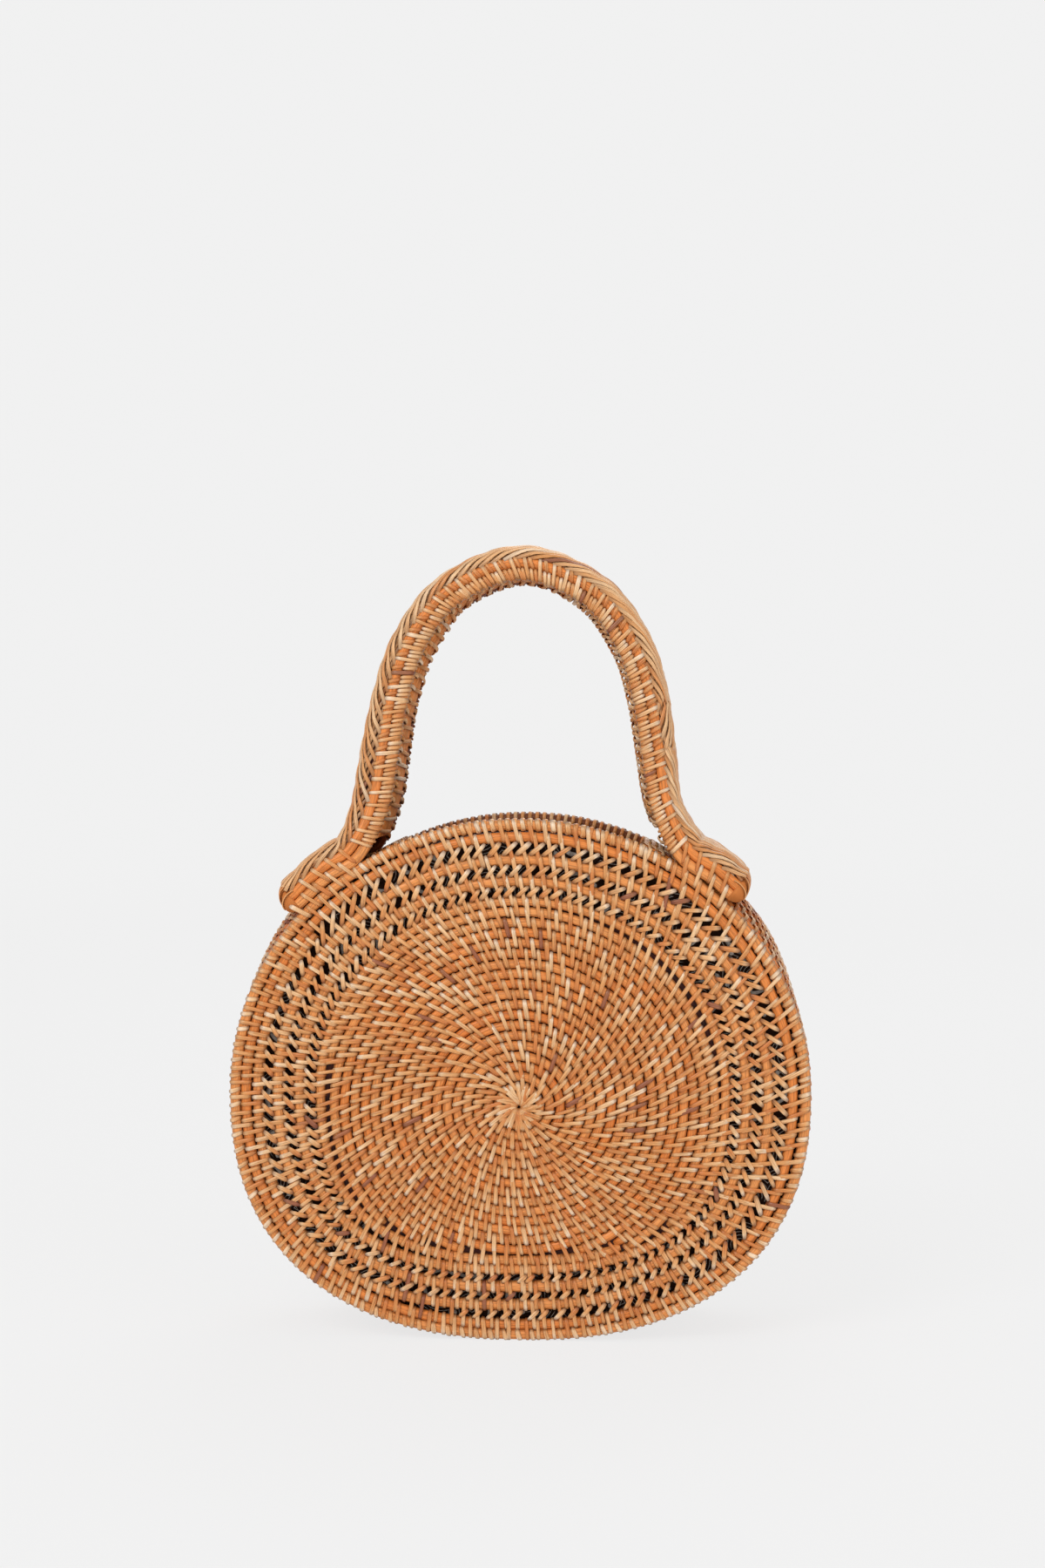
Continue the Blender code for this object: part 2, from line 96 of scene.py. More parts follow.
# Share of the way from the apex to a toe, and the handle's half depth there as a share of the bag's
DEPTH_SHARES = [(0.0, 0.60), (0.44, 0.70), (0.69, 0.855), (0.815, 1.0), (1.0, 1.0)]

# Handle's rods, faces, braid and dark body
HANDLE_ROD_PITCH = 5.5 * MM
UPPER_LEG_HEIGHT = 275 * MM
INNER_WEAVE_END_SHARE = 0.772
INNER_CANES = 9
INNER_FACE_ROOM = 2.7 * MM
INNER_FACE_EDGE = 0.3 * MM
BRAID_BASE = 5.45 * MM
BRAID_RISE = 6.6 * MM
BRAID_OVERHANG = 2.4 * MM
BRAID_SQUARENESS = 3
BRAID_DROP = 2.0 * MM
BODY_HALF_HEIGHT = 4.6 * MM
BODY_FOOT_HEIGHT = 1.6 * MM
BODY_RISE_SPAN = (72 * MM, 80 * MM)

# Feet's rounded ends
TOE_LENGTH = 6.5 * MM
TOE_UNDER = 5.15 * MM
TOE_NOTCH = 1.5 * MM
TOE_STRIPS = 31

# Lining
LINING_INSET = 6.2 * MM
LINING_DROP = 2.5 * MM
GUSSET_LINING_INSET = 5.2 * MM
HEM_WIDTH = 9 * MM
HEM_HALF_LENGTH = 54 * MM

# Stage
CAMERA_LENS = 57.75
CAMERA_PLACE = (0.065, -1.24, 0.304)
CAMERA_TARGET = (0.0018, -0.039, 0.268)
LAMP_TARGET = (0, 0, 0.19)
SKY_STRENGTH = 0.55
# Name, place, size in metres and power in watts
LAMPS = (
    ("key_lamp", (-1.1, -1.9, 1.9), 1.3, 30.0),
    ("fill_lamp", (1.6, -1.6, 0.9), 1.6, 10.5),
    ("back_lamp", (0.3, 1.6, 1.9), 1.4, 12.0),
)

# The coil's last rod runs on outwards as a spiral, clockwise, and ends under the left foot.
# Each pair is how many turns lie between a spot and that end, and the inset there in millimetres
SPIRAL = (
    (0.00, 12.8), (0.11, 13.5), (0.20, 13.3), (0.28, 14.0), (0.33, 17.4), (0.38, 19.2), (0.47, 20.3),
    (0.61, 20.7), (0.86, 20.3), (0.95, 21.3), (1.00, 22.3), (1.11, 23.6), (1.20, 24.3), (1.28, 26.3),
    (1.36, 29.6), (1.46, 30.6), (1.61, 31.1), (1.86, 30.7), (1.95, 31.6), (2.00, 32.5), (2.11, 33.8),
    (2.20, 34.8), (2.28, 37.0), (2.36, 40.1), (2.46, 40.5), (2.61, 40.7), (2.86, 40.3), (2.95, 41.6),
    (3.00, 42.8), (3.11, 44.1), (3.20, 44.6), (3.30, 45.3), (3.50, 46.0),
)
SPIRAL_TURNS = 3.42
SPIRAL_FOOT_PLACE = 1238
# Turns from the left foot, and the insets of the outer and the inner rim rod there in millimetres
RIM_INSETS = np.array(
    [(0.0, 3.1, 8.8), (0.11, 2.6, 7.9), (0.36, 2.5, 7.7), (0.61, 3.2, 9.0), (0.86, 3.5, 9.6), (1.0, 3.1, 8.8)]
)
# Turns from the left foot, and how far the rows' strips lean there as a share of the lean that is set
LEAN_SHARES = (
    (0.0, 0.3), (0.11, 0.25), (0.25, 0.5), (0.36, 0.2), (0.48, 0.5), (0.61, 1.4), (0.75, 1.2), (0.86, 0.8),
    (1.0, 0.3),
)
# Degrees clockwise from the top, and how far the coil's strips lean there as a share of that lean
COIL_LEAN_SHARES = (
    (0, 0.75), (45, 1.1), (90, 1.4), (135, 0.55), (180, 0.6), (225, 0.75), (270, 1.25), (315, 1.55),
    (360, 0.75),
)
# Height on each leg, and how much the hand-made braid swells there over its set height, in millimetres
LEFT_SWELL = (
    (225, 0.0), (236, 0.2), (248, 1.6), (258, 2.6), (268, 3.2), (288, 2.6), (308, 1.4), (328, 0.6), (360, 0.0)
)
RIGHT_SWELL = (
    (225, 0.0), (240, -0.6), (250, -2.0), (258, -2.4), (268, -1.5), (288, -0.5), (308, 0.0), (360, 0.0)
)
# Height on the left leg, and how much its inner face swells there, in millimetres
LEFT_INNER_SWELL = ((298, 0.4), (310, 1.8), (322, 2.8), (350, 2.8), (358, 1.0), (366, 0.4))
# Heights on the right leg between which the braid's front strips slant the other way
REVERSED_SPAN = (284 * MM, 305 * MM)

RIM_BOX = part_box("front_rim_rod_outer")
PANEL_PLANE = -(RIM_BOX[0].y + RIM_BOX[1].y) / 2
GUSSET_HALF_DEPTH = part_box("gusset_band")[1].y
LINING_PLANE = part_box("back_lining")[0].y
LINING_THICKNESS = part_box("back_lining")[1].y - LINING_PLANE
HEM_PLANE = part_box("back_lining_hem")[1].y


def linear(red, green, blue):
    """A colour given as it looks on screen, from 0 to 255, as Blender's linear values."""
    shares = [value / 255 for value in (red, green, blue)]
    return [s / 12.92 if s <= 0.04045 else ((s + 0.055) / 1.055) ** 2.4 for s in shares]


# Colours that follow from the chosen ones
ROD_HIGHLIGHT = linear(243, 166, 96)
STRIP_HIGHLIGHT = linear(254, 224, 190)
DEEPEST_SHADE = linear(50, 16, 8)
CLOTH_THREAD = linear(54, 32, 22)


# Settings that a user would change
def length(name, description, default):
    return bpy.props.FloatProperty(
        name=name, description=description, default=default * MM, unit="LENGTH", min=0
    )


def angle(name, description, degrees):
    return bpy.props.FloatProperty(
        name=name, description=description, default=math.radians(degrees), subtype="ANGLE"
    )


def number(name, description, default, least):
    return bpy.props.IntProperty(name=name, description=description, default=default, min=least)


def colour(name, description, *screen):
    return bpy.props.FloatVectorProperty(
        name=name, description=description, default=linear(*screen), subtype="COLOR", size=3, min=0, max=1
    )


class CaneSizes(bpy.types.PropertyGroup):
    coil_pitch: length("Coil pitch", "Distance between two turns of the coil", 4.95)
    coil_rod: length("Coil rod", "Diameter of the coil's rod", 4.75)
    open_rod: length("Open rod", "Diameter of the rods of the open rows", 5.8)
    rim_rod: length("Rim rod", "Diameter of the two rim rods", 5.2)
    handle_rod: length("Handle rod", "Diameter of the handle's face rods", 5.6)
    strip_width: length("Strip width", "Width of the split cane that lashes the rods", 2.0)
    strip_thickness: length("Strip thickness", "Thickness of the split cane", 0.95)
    rod_sides: number("Rod sides", "Facets round a rod", 12, 6)
    strip_sides: number("Strip sides", "Facets round a strip", 8, 4)


class WeaveSizes(bpy.types.PropertyGroup):
    coil_step: length("Coil lashing step", "Distance between strips on a pair of turns", 6.4)
    star_step: length("Star lashing step", "The same distance next to the centre", 3.6)
    ring_lashings: number("Ring lashings", "Strips on each open row, all the way round", 112, 20)
    gusset_step: length("Gusset lashing step", "Distance between strips on a pair of gusset canes", 7.2)
    handle_step: length("Handle lashing step", "Distance between the long strips of the handle", 6.3)
    braid_step: length("Braid step", "Distance between braid strips along the handle", 6.2)
    braid_rise: length("Braid rise", "Height of the braid's crown over its edge", 6.6)
    lean: angle("Lean", "Lean of the strips from straight across the rods", 16)
    braid_angle: angle("Braid angle", "Angle of the braid strips from straight across the handle", 66)


class Finishes(bpy.types.PropertyGroup):
    rod: colour("Rod", "Stained rod where light falls on it", 237, 139, 64)
    rod_dark: colour("Rod, dark", "Stained rod in its darker stretches", 198, 95, 36)
    strip: colour("Strip", "Split cane, most of it", 231, 164, 100)
    strip_pale: colour("Strip, pale", "The palest split cane", 246, 202, 152)
    strip_tan: colour("Strip, tan", "Darker split cane", 218, 132, 68)
    strip_odd: colour("Strip, odd", "The few strips that took the stain badly", 136, 82, 66)
    # Painted shade: canes darken towards this colour on the side that turns into the weave and at tucked
    # strip ends, and the dark beds are painted in it; the canes' fibre streaks are also mixed towards it, as
    # grain.
    shade: colour("Shade", "Cane in the depth of the weave", 80, 25, 8)
    cloth: colour("Cloth", "Ground of the lining", 36, 20, 13)
    print_pale: colour("Print", "Pale marks printed on the lining", 222, 214, 202)
    floor: colour("Floor", "Floor and backdrop", 242, 242, 242)


def chosen(context):
    """The settings that are in use: the canes', the weave's and the finishes'."""
    return [getattr(context.scene, name) for name in SETTINGS]


def strip_size(canes):
    return canes.strip_width, canes.strip_thickness, canes.strip_sides


def rod_size(canes, width, thickness=None):
    return width, thickness or width, canes.rod_sides


# Plane curves, as arrays of (x, z) points with outward normals
def unit(vectors):
    return vectors / np.linalg.norm(vectors, axis=-1, keepdims=True)


def quarter_turn(plane):
    """Plane vectors turned a quarter, so that outward normals run counterclockwise round the bag's front."""
    return np.stack([-plane[..., 1], plane[..., 0]], axis=-1)


def normals_of(points):
    return quarter_turn(unit(np.gradient(points, axis=0)))


def lengths_along(points):
    steps = np.linalg.norm(np.diff(points, axis=0), axis=1)
    return np.concatenate([[0], np.cumsum(steps)])


def between(values, at):
    """Rows of an array at fractional indices."""
    whole = np.arange(len(values))
    return np.stack([np.interp(at, whole, values[:, k]) for k in range(values.shape[1])], axis=1)


def from_table(table, value):
    """The number that a table of (place, number) gives at this place."""
    return np.interp(value, *np.transpose(table))


def smooth_step(value):
    value = np.clip(value, 0, 1)
    return value * value * (3 - 2 * value)


def smooth_curve(points, per_span=24):
    """A Catmull-Rom curve through the points."""
    points = np.asarray(points)
    padded = np.vstack([2 * points[0] - points[1], points, 2 * points[-1] - points[-2]])
    t = np.arange(per_span)[:, None] / per_span
    spans = []
    for a, b, c, d in zip(padded, padded[1:], padded[2:], padded[3:]):
        square, cube = 2 * a - 5 * b + 4 * c - d, 3 * b - a - 3 * c + d
        spans.append(0.5 * (2 * b + (c - a) * t + square * t**2 + cube * t**3))
    return np.vstack(spans + [points[-1:]])


def outline():
    """The panel's closed outline from the top round the +X side: an ellipse above a squarer curve."""
    theta = np.linspace(0, 2 * math.pi, 1441)
    sine, cosine = np.sin(theta), np.cos(theta)
    power = 2 / LOWER_SQUARENESS
    lower = cosine < 0
    x = np.where(lower, np.sign(sine) * np.abs(sine) ** power, sine) * (PANEL_WIDTH / 2)
    below = -(np.abs(cosine) ** power) * WIDEST_LINE_HEIGHT
    z = WIDEST_LINE_HEIGHT + np.where(lower, below, cosine * (PANEL_HEIGHT - WIDEST_LINE_HEIGHT))
    points = np.stack([x, z], axis=1)
    return points, normals_of(np.vstack([points[-2:-1], points, points[1:2]]))[1:-1]


EDGE_POINTS, EDGE_NORMALS = outline()
QUARTER = len(EDGE_POINTS) // 4
ROUND = len(EDGE_POINTS) - 1


def ring_at(inset, at):
    """Points and outward normals of the ring at this inset, beside these fractional points of the outline."""
    points, normals = between(EDGE_POINTS, at), unit(between(EDGE_NORMALS, at))
    downward = np.clip(-normals[:, 1], 0, 1) ** 2
    depth = inset - np.maximum(0.0, inset - RIM_INNER_INSET) * BOTTOM_SQUEEZE * downward
    return points - normals * depth[:, None], normals


def place_of(turns):
    """The outline's fractional points that lie this many turns counterclockwise from the left foot."""
    return (SPIRAL_FOOT_PLACE - np.asarray(turns) * ROUND) % ROUND


def even_turns(first, last, step):
    """Turns from the left foot that divide a middle row evenly, this share of its length apart."""
    shares = np.arange(math.ceil(first / step), math.ceil(last / step)) * step
    whole = np.linspace(0, 1, 721)
    run = lengths_along(ring_at(OPEN_OUTER_INSET, place_of(whole))[0])
    return np.floor(shares) + np.interp(shares % 1, run / run[-1], whole)


def row_at(turns, outward=0):
    """Plane points and normals of the row at these turns, or of the one outside it. The spiral starts at
    turn 0, and the turns before it are the rim rods and then the handle's rods, outwards."""
    turns = np.asarray(turns) - outward
    spiral = smooth_curve(SPIRAL, per_span=8)
    outer, inner = (np.interp(turns % 1, RIM_INSETS[:, 0], RIM_INSETS[:, k]) for k in (1, 2))
    lifts = (HANDLE_ROD_PITCH / 2 - FOOT_LIFT, -HANDLE_ROD_PITCH / 2 - FOOT_LIFT)
    rows = [turns >= 0, turns >= -1, turns >= -2, turns >= -3]
    insets = [from_table(spiral, turns) * MM, inner * MM, outer * MM, turns * 0 + lifts[0]]
    return ring_at(np.select(rows, insets, lifts[1]), place_of(turns))


def gusset_line(count):
    """(points, normals, run from the nearer end) from mouth corner to mouth corner, round the bottom."""
    run = lengths_along(EDGE_POINTS)
    first = np.interp(MOUTH_HALF_WIDTH, EDGE_POINTS[:QUARTER, 0], run[:QUARTER])
    at = np.linspace(first, run[-1] - first, count)
    index = np.interp(at, run, np.arange(len(run)))
    ends = np.minimum(at - first, at[::-1] - first)
    return between(EDGE_POINTS, index), between(EDGE_NORMALS, index), ends


def handle_half(toe_reach):
    """Points from the apex down the +X leg and along the rim to the toe."""
    above_rim = APEX_HEIGHT - PANEL_HEIGHT
    leg = [(x * ANKLE_HALF_SPAN, PANEL_HEIGHT + z * above_rim) for x, z in LEG_SHARES]
    lifted = EDGE_POINTS + EDGE_NORMALS * FOOT_LIFT
    reaches = (*FOOT_REACHES, toe_reach)
    nearest = [int(np.argmin(np.abs(EDGE_POINTS[:QUARTER, 0] - reach))) for reach in reaches]
    return leg + [tuple(lifted[k]) for k in nearest]


class HandleLine:
    """The line between the handle's outer and inner rods, from the left toe over the apex to the right."""

    def __init__(self):
        left = [(-x, z) for x, z in reversed(handle_half(LEFT_TOE_REACH)[1:])]
        self.points = smooth_curve(left + handle_half(RIGHT_TOE_REACH))
        self.normals = normals_of(self.points)
        self.run = lengths_along(self.points)
        self.length = self.run[-1]
        self.apex = self.run[int(np.argmax(self.points[:, 1]))]
        past = self.run - self.apex
        shares = np.where(past < 0, -past / self.apex, past / (self.length - self.apex))
        depth = smooth_curve(np.array(DEPTH_SHARES), per_span=8)
        self.depth = from_table(depth, shares) * PANEL_PLANE

    def at(self, run):
        """(points, normals, half depth) at these lengths along the line."""
        index = np.interp(run, self.run, np.arange(len(self.run)))
        depth = np.interp(run, self.run, self.depth)
        return between(self.points, index), unit(between(self.normals, index)), depth


HANDLE = HandleLine()


def at_depth(plane, y):
    """Plane points as world points at this depth."""
    plane = np.asarray(plane)
    world = np.stack([plane[..., 0], np.zeros(plane.shape[:-1]), plane[..., 1]], axis=-1)
    world[..., 1] = y
    return world


def upright(plane):
    """Plane vectors as world vectors."""
    return at_depth(plane, 0.0)


def beside(point, normal, out, y):
    """World points at this distance out along the normals, at this depth."""
    return at_depth(point + normal * np.asarray(out)[..., None], y)


# Node trees
class Wire:
    """A socket that can stand in a sum."""

    def __init__(self, tree, socket):
        self.tree, self.socket = tree, socket

    def math(self, operation, *values):
        return self.tree.node("ShaderNodeMath", {"operation": operation}, dict(enumerate((self, *values))))

    def other(self, output):
        """The wire from another output of the same node."""
        return Wire(self.tree, self.socket.node.outputs[output])

    def __add__(self, other):
        return self.math("ADD", other)

    def __sub__(self, other):
        return self.math("SUBTRACT", other)

    def __mul__(self, other):
        return self.math("MULTIPLY", other)


class Tree:
    """A node tree that is written as calls."""

    def __init__(self, tree):
        self.tree = tree

    def fill(self, node, values):
        """Links wires to a node's inputs and sets its other values."""
        for key, value in values.items():
            if isinstance(value, Wire):
                self.tree.links.new(value.socket, node.inputs[key])
            else:
                node.inputs[key].default_value = value

    def node(self, kind, settings=None, values=None, out=0):
        made = self.tree.nodes.new(kind)
        for key, value in (settings or {}).items():
            setattr(made, key, value)
        self.fill(made, values or {})
        return Wire(self, made.outputs[out]) if len(made.outputs) else made

    def ramp(self, value, stops):
        """The colours of these (place, colour) stops, by a value from 0 to 1."""
        wire = self.node("ShaderNodeValToRGB", None, {0: value})
        elements = wire.socket.node.color_ramp.elements
        while len(elements) < len(stops):
            elements.new(1)
        for element, (place, shade) in zip(elements, stops):
            element.position = place
            element.color = (*shade, 1)
        return wire

    def vector(self, x, y, z):
        return self.node("ShaderNodeCombineXYZ", None, {0: x, 1: y, 2: z})

    def place(self):
        return self.node("ShaderNodeTexCoord", out="Object")

    def noise(self, vector, scale, detail=2.0, roughness=0.5):
        values = {"Vector": vector, "Scale": scale, "Detail": detail, "Roughness": roughness}
        return self.node("ShaderNodeTexNoise", None, values)

    def mix(self, factor, first, second):
        """Two colours mixed, each a wire or three linear values."""
        first, second = (shade if isinstance(shade, Wire) else (*shade, 1) for shade in (first, second))
        return self.node("ShaderNodeMix", {"data_type": "RGBA"}, {0: factor, 6: first, 7: second}, out=2)

    def smooth(self, value, low, high, to_low=0.0, to_high=1.0):
        settings = {"interpolation_type": "SMOOTHSTEP"}
        return self.node("ShaderNodeMapRange", settings, {0: value, 1: low, 2: high, 3: to_low, 4: to_high})

    def bump(self, height, strength, distance):
        values = {"Strength": strength, "Distance": distance, "Height": height}
        return self.node("ShaderNodeBump", None, values)


def sweep_tree():
    """Sweeps an oval cane along each line of a mesh, turned to face the way that the line's points say."""
    name = "Sweep canes"
    if name in bpy.data.node_groups:
        return bpy.data.node_groups[name]
    group = bpy.data.node_groups.new(name, "GeometryNodeTree")
    sockets = {
        "Lines": "Geometry", "Width": "Float", "Thickness": "Float", "Sides": "Int", "Seed": "Int",
        "Finish": "Material",
    }
    for label, kind in sockets.items():
        group.interface.new_socket(label, in_out="INPUT", socket_type="NodeSocket" + kind)
    group.interface.new_socket("Canes", in_out="OUTPUT", socket_type="NodeSocketGeometry")
    tree = Tree(group)
    given = group.nodes.new("NodeGroupInput")
    lines, width, thickness, sides, seed, finish = (Wire(tree, given.outputs[k]) for k in range(6))

    def named(label, kind="FLOAT"):
        return tree.node("GeometryNodeInputNamedAttribute", {"data_type": kind}, {"Name": label})

    def store(geometry, label, value, domain="POINT"):
        settings = {"data_type": "FLOAT", "domain": domain}
        values = {"Geometry": geometry, "Name": label, "Value": value}
        return tree.node("GeometryNodeStoreNamedAttribute", settings, values)

    curve = tree.node("GeometryNodeMeshToCurve", None, {"Mesh": lines})
    curve = store(curve, "run", tree.node("GeometryNodeSplineParameter", out="Length"))
    chances = {2: 0.0, 3: 1.0, "Seed": seed}
    chance = tree.node("FunctionNodeRandomValue", {"data_type": "FLOAT"}, chances, out=1)
    low, high = named("tone_low"), named("tone_high")
    curve = store(curve, "chance", chance, "CURVE")
    curve = store(curve, "tone", low + named("chance") * (high - low))
    curve = store(curve, "grain", named("chance"))
    facing = named("facing", "FLOAT_VECTOR")
    curve = tree.node("GeometryNodeSetCurveNormal", {"mode": "FREE"}, {"Curve": curve, "Normal": facing})
    circle = {"Resolution": sides, "Radius": 1.0}
    ring = tree.node("GeometryNodeCurvePrimitiveCircle", {"mode": "RADIUS"}, circle)
    split = tree.node("ShaderNodeSeparateXYZ", None, {0: tree.node("GeometryNodeInputPosition")})
    # crest is a point's place across the cane's thickness; the finishes paint shade where it is low, on the
    # side that turns into the weave
    ring = store(ring, "crest", split)
    ring = store(ring, "across", split.other(1))
    scale = tree.vector(thickness * 0.5, width * 0.5, 1.0)
    ring = tree.node("GeometryNodeTransform", None, {"Geometry": ring, "Scale": scale})
    sweep = {"Curve": curve, "Profile Curve": ring, "Scale": named("girth"), "Fill Caps": True}
    swept = tree.node("GeometryNodeCurveToMesh", None, sweep)
    swept = tree.node("GeometryNodeSetShadeSmooth", None, {"Geometry": swept, "Shade Smooth": True})
    swept = tree.node("GeometryNodeRealizeInstances", None, {"Geometry": swept})
    swept = tree.node("GeometryNodeSetMaterial", None, {"Geometry": swept, "Material": finish})
    tree.node("NodeGroupOutput", None, {0: swept})
    return group


# Finishes
def finish_named(name, paint):
    """The material of this name, and when it is new, with the shader's inputs that paint(tree) gives."""
    if name not in bpy.data.materials:
        material = bpy.data.materials.new(name)
        material.use_nodes = True
        tree = Tree(material.node_tree)
        tree.fill(material.node_tree.nodes["Principled BSDF"], paint(tree))
    return bpy.data.materials[name]


def cane_finish(name, stops, shade, roughness, coat, grain=1.0, crests=(-0.35, 0.75), odd=None):
    """Cane with lengthwise fibres, a tone of its own for each strand, and painted shade on the side that
    turns into the weave and at the tucked ends of strips.
    """

    def paint(tree):
        labels = ("tone", "run", "grain", "across", "crest", "tuck")
        attributes = (tree.node("ShaderNodeAttribute", {"attribute_name": label}, out=2) for label in labels)
        tone, run, strand, across, crest, tuck = attributes
        fibres = tree.noise(tree.vector(run * 110.0, across * 4.5 * grain, strand * 910.0), 1.0, 3.0, 0.6)
        patches = tree.noise(tree.vector(run * 60.0, across * 0.6, strand * 1730.0), 1.0, 1.0)
        base = tree.ramp(tone + (patches - 0.5) * 0.3, stops)
        if odd is not None:
            base = tree.mix(tree.smooth(strand, 0.018, 0.024, 0.75, 0.0), base, odd)
        base = tree.mix(tree.smooth(fibres, 0.40, 0.66, 0.0, 0.42), base, shade)
        # Painted shade: the cane darkens on its low crest and at tucked strip ends
        depth = tree.smooth(crest, *crests, 0.85, 0.0).math("MAXIMUM", tuck * 0.75)
        return {
            "Base Color": tree.mix(depth, base, shade),
            "Roughness": tree.smooth(fibres, 0.3, 0.7, roughness - 0.06, roughness + 0.1),
            "Normal": tree.bump(fibres, 0.35, 0.12 * MM),
            "Coat Weight": coat,
            "Coat Roughness": 0.22,
            "Specular IOR Level": 0.12 if coat == 0 else 0.28,
        }

    return finish_named(name, paint)


def rod_finish(settings, inner=False):
    stops = [(0.0, settings.rod_dark), (0.4, settings.rod), (1.0, ROD_HIGHLIGHT)]
    if inner:
        return cane_finish("inner_rod", stops, settings.shade, 0.6, 0.0, 1.0, (-0.95, -0.2))
    return cane_finish("stained_rod", stops, settings.shade, 0.42, 0.08)


def strip_finish(settings, inner=False):
    tan, middle, pale = settings.strip_tan, settings.strip, settings.strip_pale
    stops = [(0.0, tan), (0.4, middle), (0.8, pale), (1.0, STRIP_HIGHLIGHT)]
    if inner:
        return cane_finish("inner_split_cane", stops, settings.shade, 0.6, 0.0, 0.8, (-1.2, -0.3))
    return cane_finish("split_cane", stops, settings.shade, 0.34, 0.2, 0.8, (-0.9, 0.1), settings.strip_odd)


def painted_shade_finish(settings):
    """Painted shade for the depth of the weave, seen only through its gaps: the shade colour, speckled with a
    deeper shade.
    """

    def paint(tree):
        speckle = tree.noise(tree.place(), 420.0, 3.0, 0.6)
        base = tree.mix(tree.smooth(speckle, 0.4, 0.65), settings.shade, DEEPEST_SHADE)
        return {"Base Color": base, "Normal": tree.bump(speckle, 0.6, 0.4 * MM), "Roughness": 0.7}

    return finish_named("painted_weave_shade", paint)


# Meshes
def placed(name, data):
    """A new object of the scene."""
    obj = bpy.data.objects.new(name, data)
    bpy.context.scene.collection.objects.link(obj)
    return obj


def plain_mesh(name, points, faces, finish):
    data = bpy.data.meshes.new(name)
    data.from_pydata([tuple(point) for point in points], [], faces)
    data.materials.append(finish)
    return data


def smooth_piece(name, points, faces, finish):
    """An object with outward, smoothly shaded faces."""
    data = plain_mesh(name, points, faces, finish)
    mesh = bmesh.new()
    mesh.from_mesh(data)
    bmesh.ops.recalc_face_normals(mesh, faces=mesh.faces)
    mesh.to_mesh(data)
    mesh.free()
    data.shade_smooth()
    return placed(name, data)


def belt(start, end, count):
    """Faces between two closed rows of points that begin at these indices."""
    after = [(k + 1) % count for k in range(count)]
    return [[start + k, start + n, end + n, end + k] for k, n in enumerate(after)]


def ring_shell(name, rings, finish):
    """A closed shell through rings that have the same number of points."""
    count, last = len(rings[0]), len(rings) - 1
    faces = [list(range(count))]
    for row in range(last):
        faces += belt(row * count, (row + 1) * count, count)
    faces.append([last * count + k for k in reversed(range(count))])
    return smooth_piece(name, [place for ring in rings for place in ring], faces, finish)


def settle(obj, nodes):
    """The piece moves with the bag and stands for these solids, which it hides."""
    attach(obj, "root")
    if nodes:
        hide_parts(*nodes)


def both_panels(obj, nodes):
    """Settles a piece of the front panel, and the same half a turn round for the back panel."""
    data = obj.data.copy()
    data.transform(Matrix.Rotation(math.pi, 4, "Z"))
    back = placed(obj.name.replace("front_", "back_"), data)
    for piece, word in ((obj, "front_"), (back, "back_")):
        settle(piece, [word + node for node in nodes])


# Strands of cane
class Strands:
    """Lines to be swept into canes, with the way each faces, its girth, its tones, and the painted shade
    where it tucks under.
    """

    def __init__(self, seed):
        self.seed = seed
        self.random = np.random.default_rng(seed)
        self.rows = {"point": [], "facing": [], "girth": [], "tuck": [], "tone_low": [], "tone_high": []}
        self.edges = []
        self.count = 0

    def add(self, lines, facing, girth=1.0, tuck=0.0, tones=(0.0, 1.0), closed=False):
        """Adds an array of lines, (strands, points, 3), which all have the same number of points."""
        lines = np.asarray(lines, float)
        strands, steps, _ = lines.shape
        facing = unit(np.broadcast_to(facing, lines.shape))
        flat = (strands, steps)
        values = (lines, facing, girth, tuck, tones[0], tones[1])
        for key, value in zip(self.rows, values):
            if key not in ("point", "facing"):
                value = np.broadcast_to(value, flat)[..., None]
            self.rows[key].append(value.reshape(strands * steps, -1))
        index = self.count + np.arange(strands * steps).reshape(flat)
        self.edges.append(np.stack([index[:, :-1], index[:, 1:]], axis=-1).reshape(-1, 2))
        if closed:
            self.edges.append(np.stack([index[:, -1], index[:, 0]], axis=-1))
        self.count += strands * steps

    def bake(self, name, size, finish, lowest=None):
        """Sweeps the lines at this width, thickness and number of sides, and leaves the plain mesh."""
        mesh = bpy.data.meshes.new(name + "_lines")
        edges = np.concatenate(self.edges)
        mesh.from_pydata(np.concatenate(self.rows.pop("point")).tolist(), edges.tolist(), [])
        for key, rows in self.rows.items():
            kind, field = ("FLOAT_VECTOR", "vector") if key == "facing" else ("FLOAT", "value")
            attribute = mesh.attributes.new(key, kind, "POINT")
            attribute.data.foreach_set(field, np.concatenate(rows).astype(np.float32).ravel())
        obj = placed(name, mesh)
        modifier = obj.modifiers.new("canes", "NODES")
        modifier.node_group = sweep_tree()
        sockets = {item.name: item.identifier for item in modifier.node_group.interface.items_tree}
        labels = ("Width", "Thickness", "Sides", "Seed", "Finish")
        for label, value in zip(labels, (*size, self.seed, finish)):
            modifier[sockets[label]] = value
        bpy.context.view_layer.update()
        graph = bpy.context.evaluated_depsgraph_get()
        data = bpy.data.meshes.new_from_object(obj.evaluated_get(graph))
        obj.modifiers.remove(modifier)
        obj.data = data
        bpy.data.meshes.remove(mesh)
        data.name = name
        if lowest is not None:
            keep_above(data, lowest)
        return obj


def keep_above(data, lowest):
    """Presses flat what would reach under the surface that the bag stands on."""
    points = np.empty(len(data.vertices) * 3)
    data.vertices.foreach_get("co", points)
    points[2::3] = np.maximum(points[2::3], lowest)
    data.vertices.foreach_set("co", points)
    data.update()


# Strips over rods. A profile is (reach, height): reach across the rods, height over their middle plane
REACH_STEPS = 9
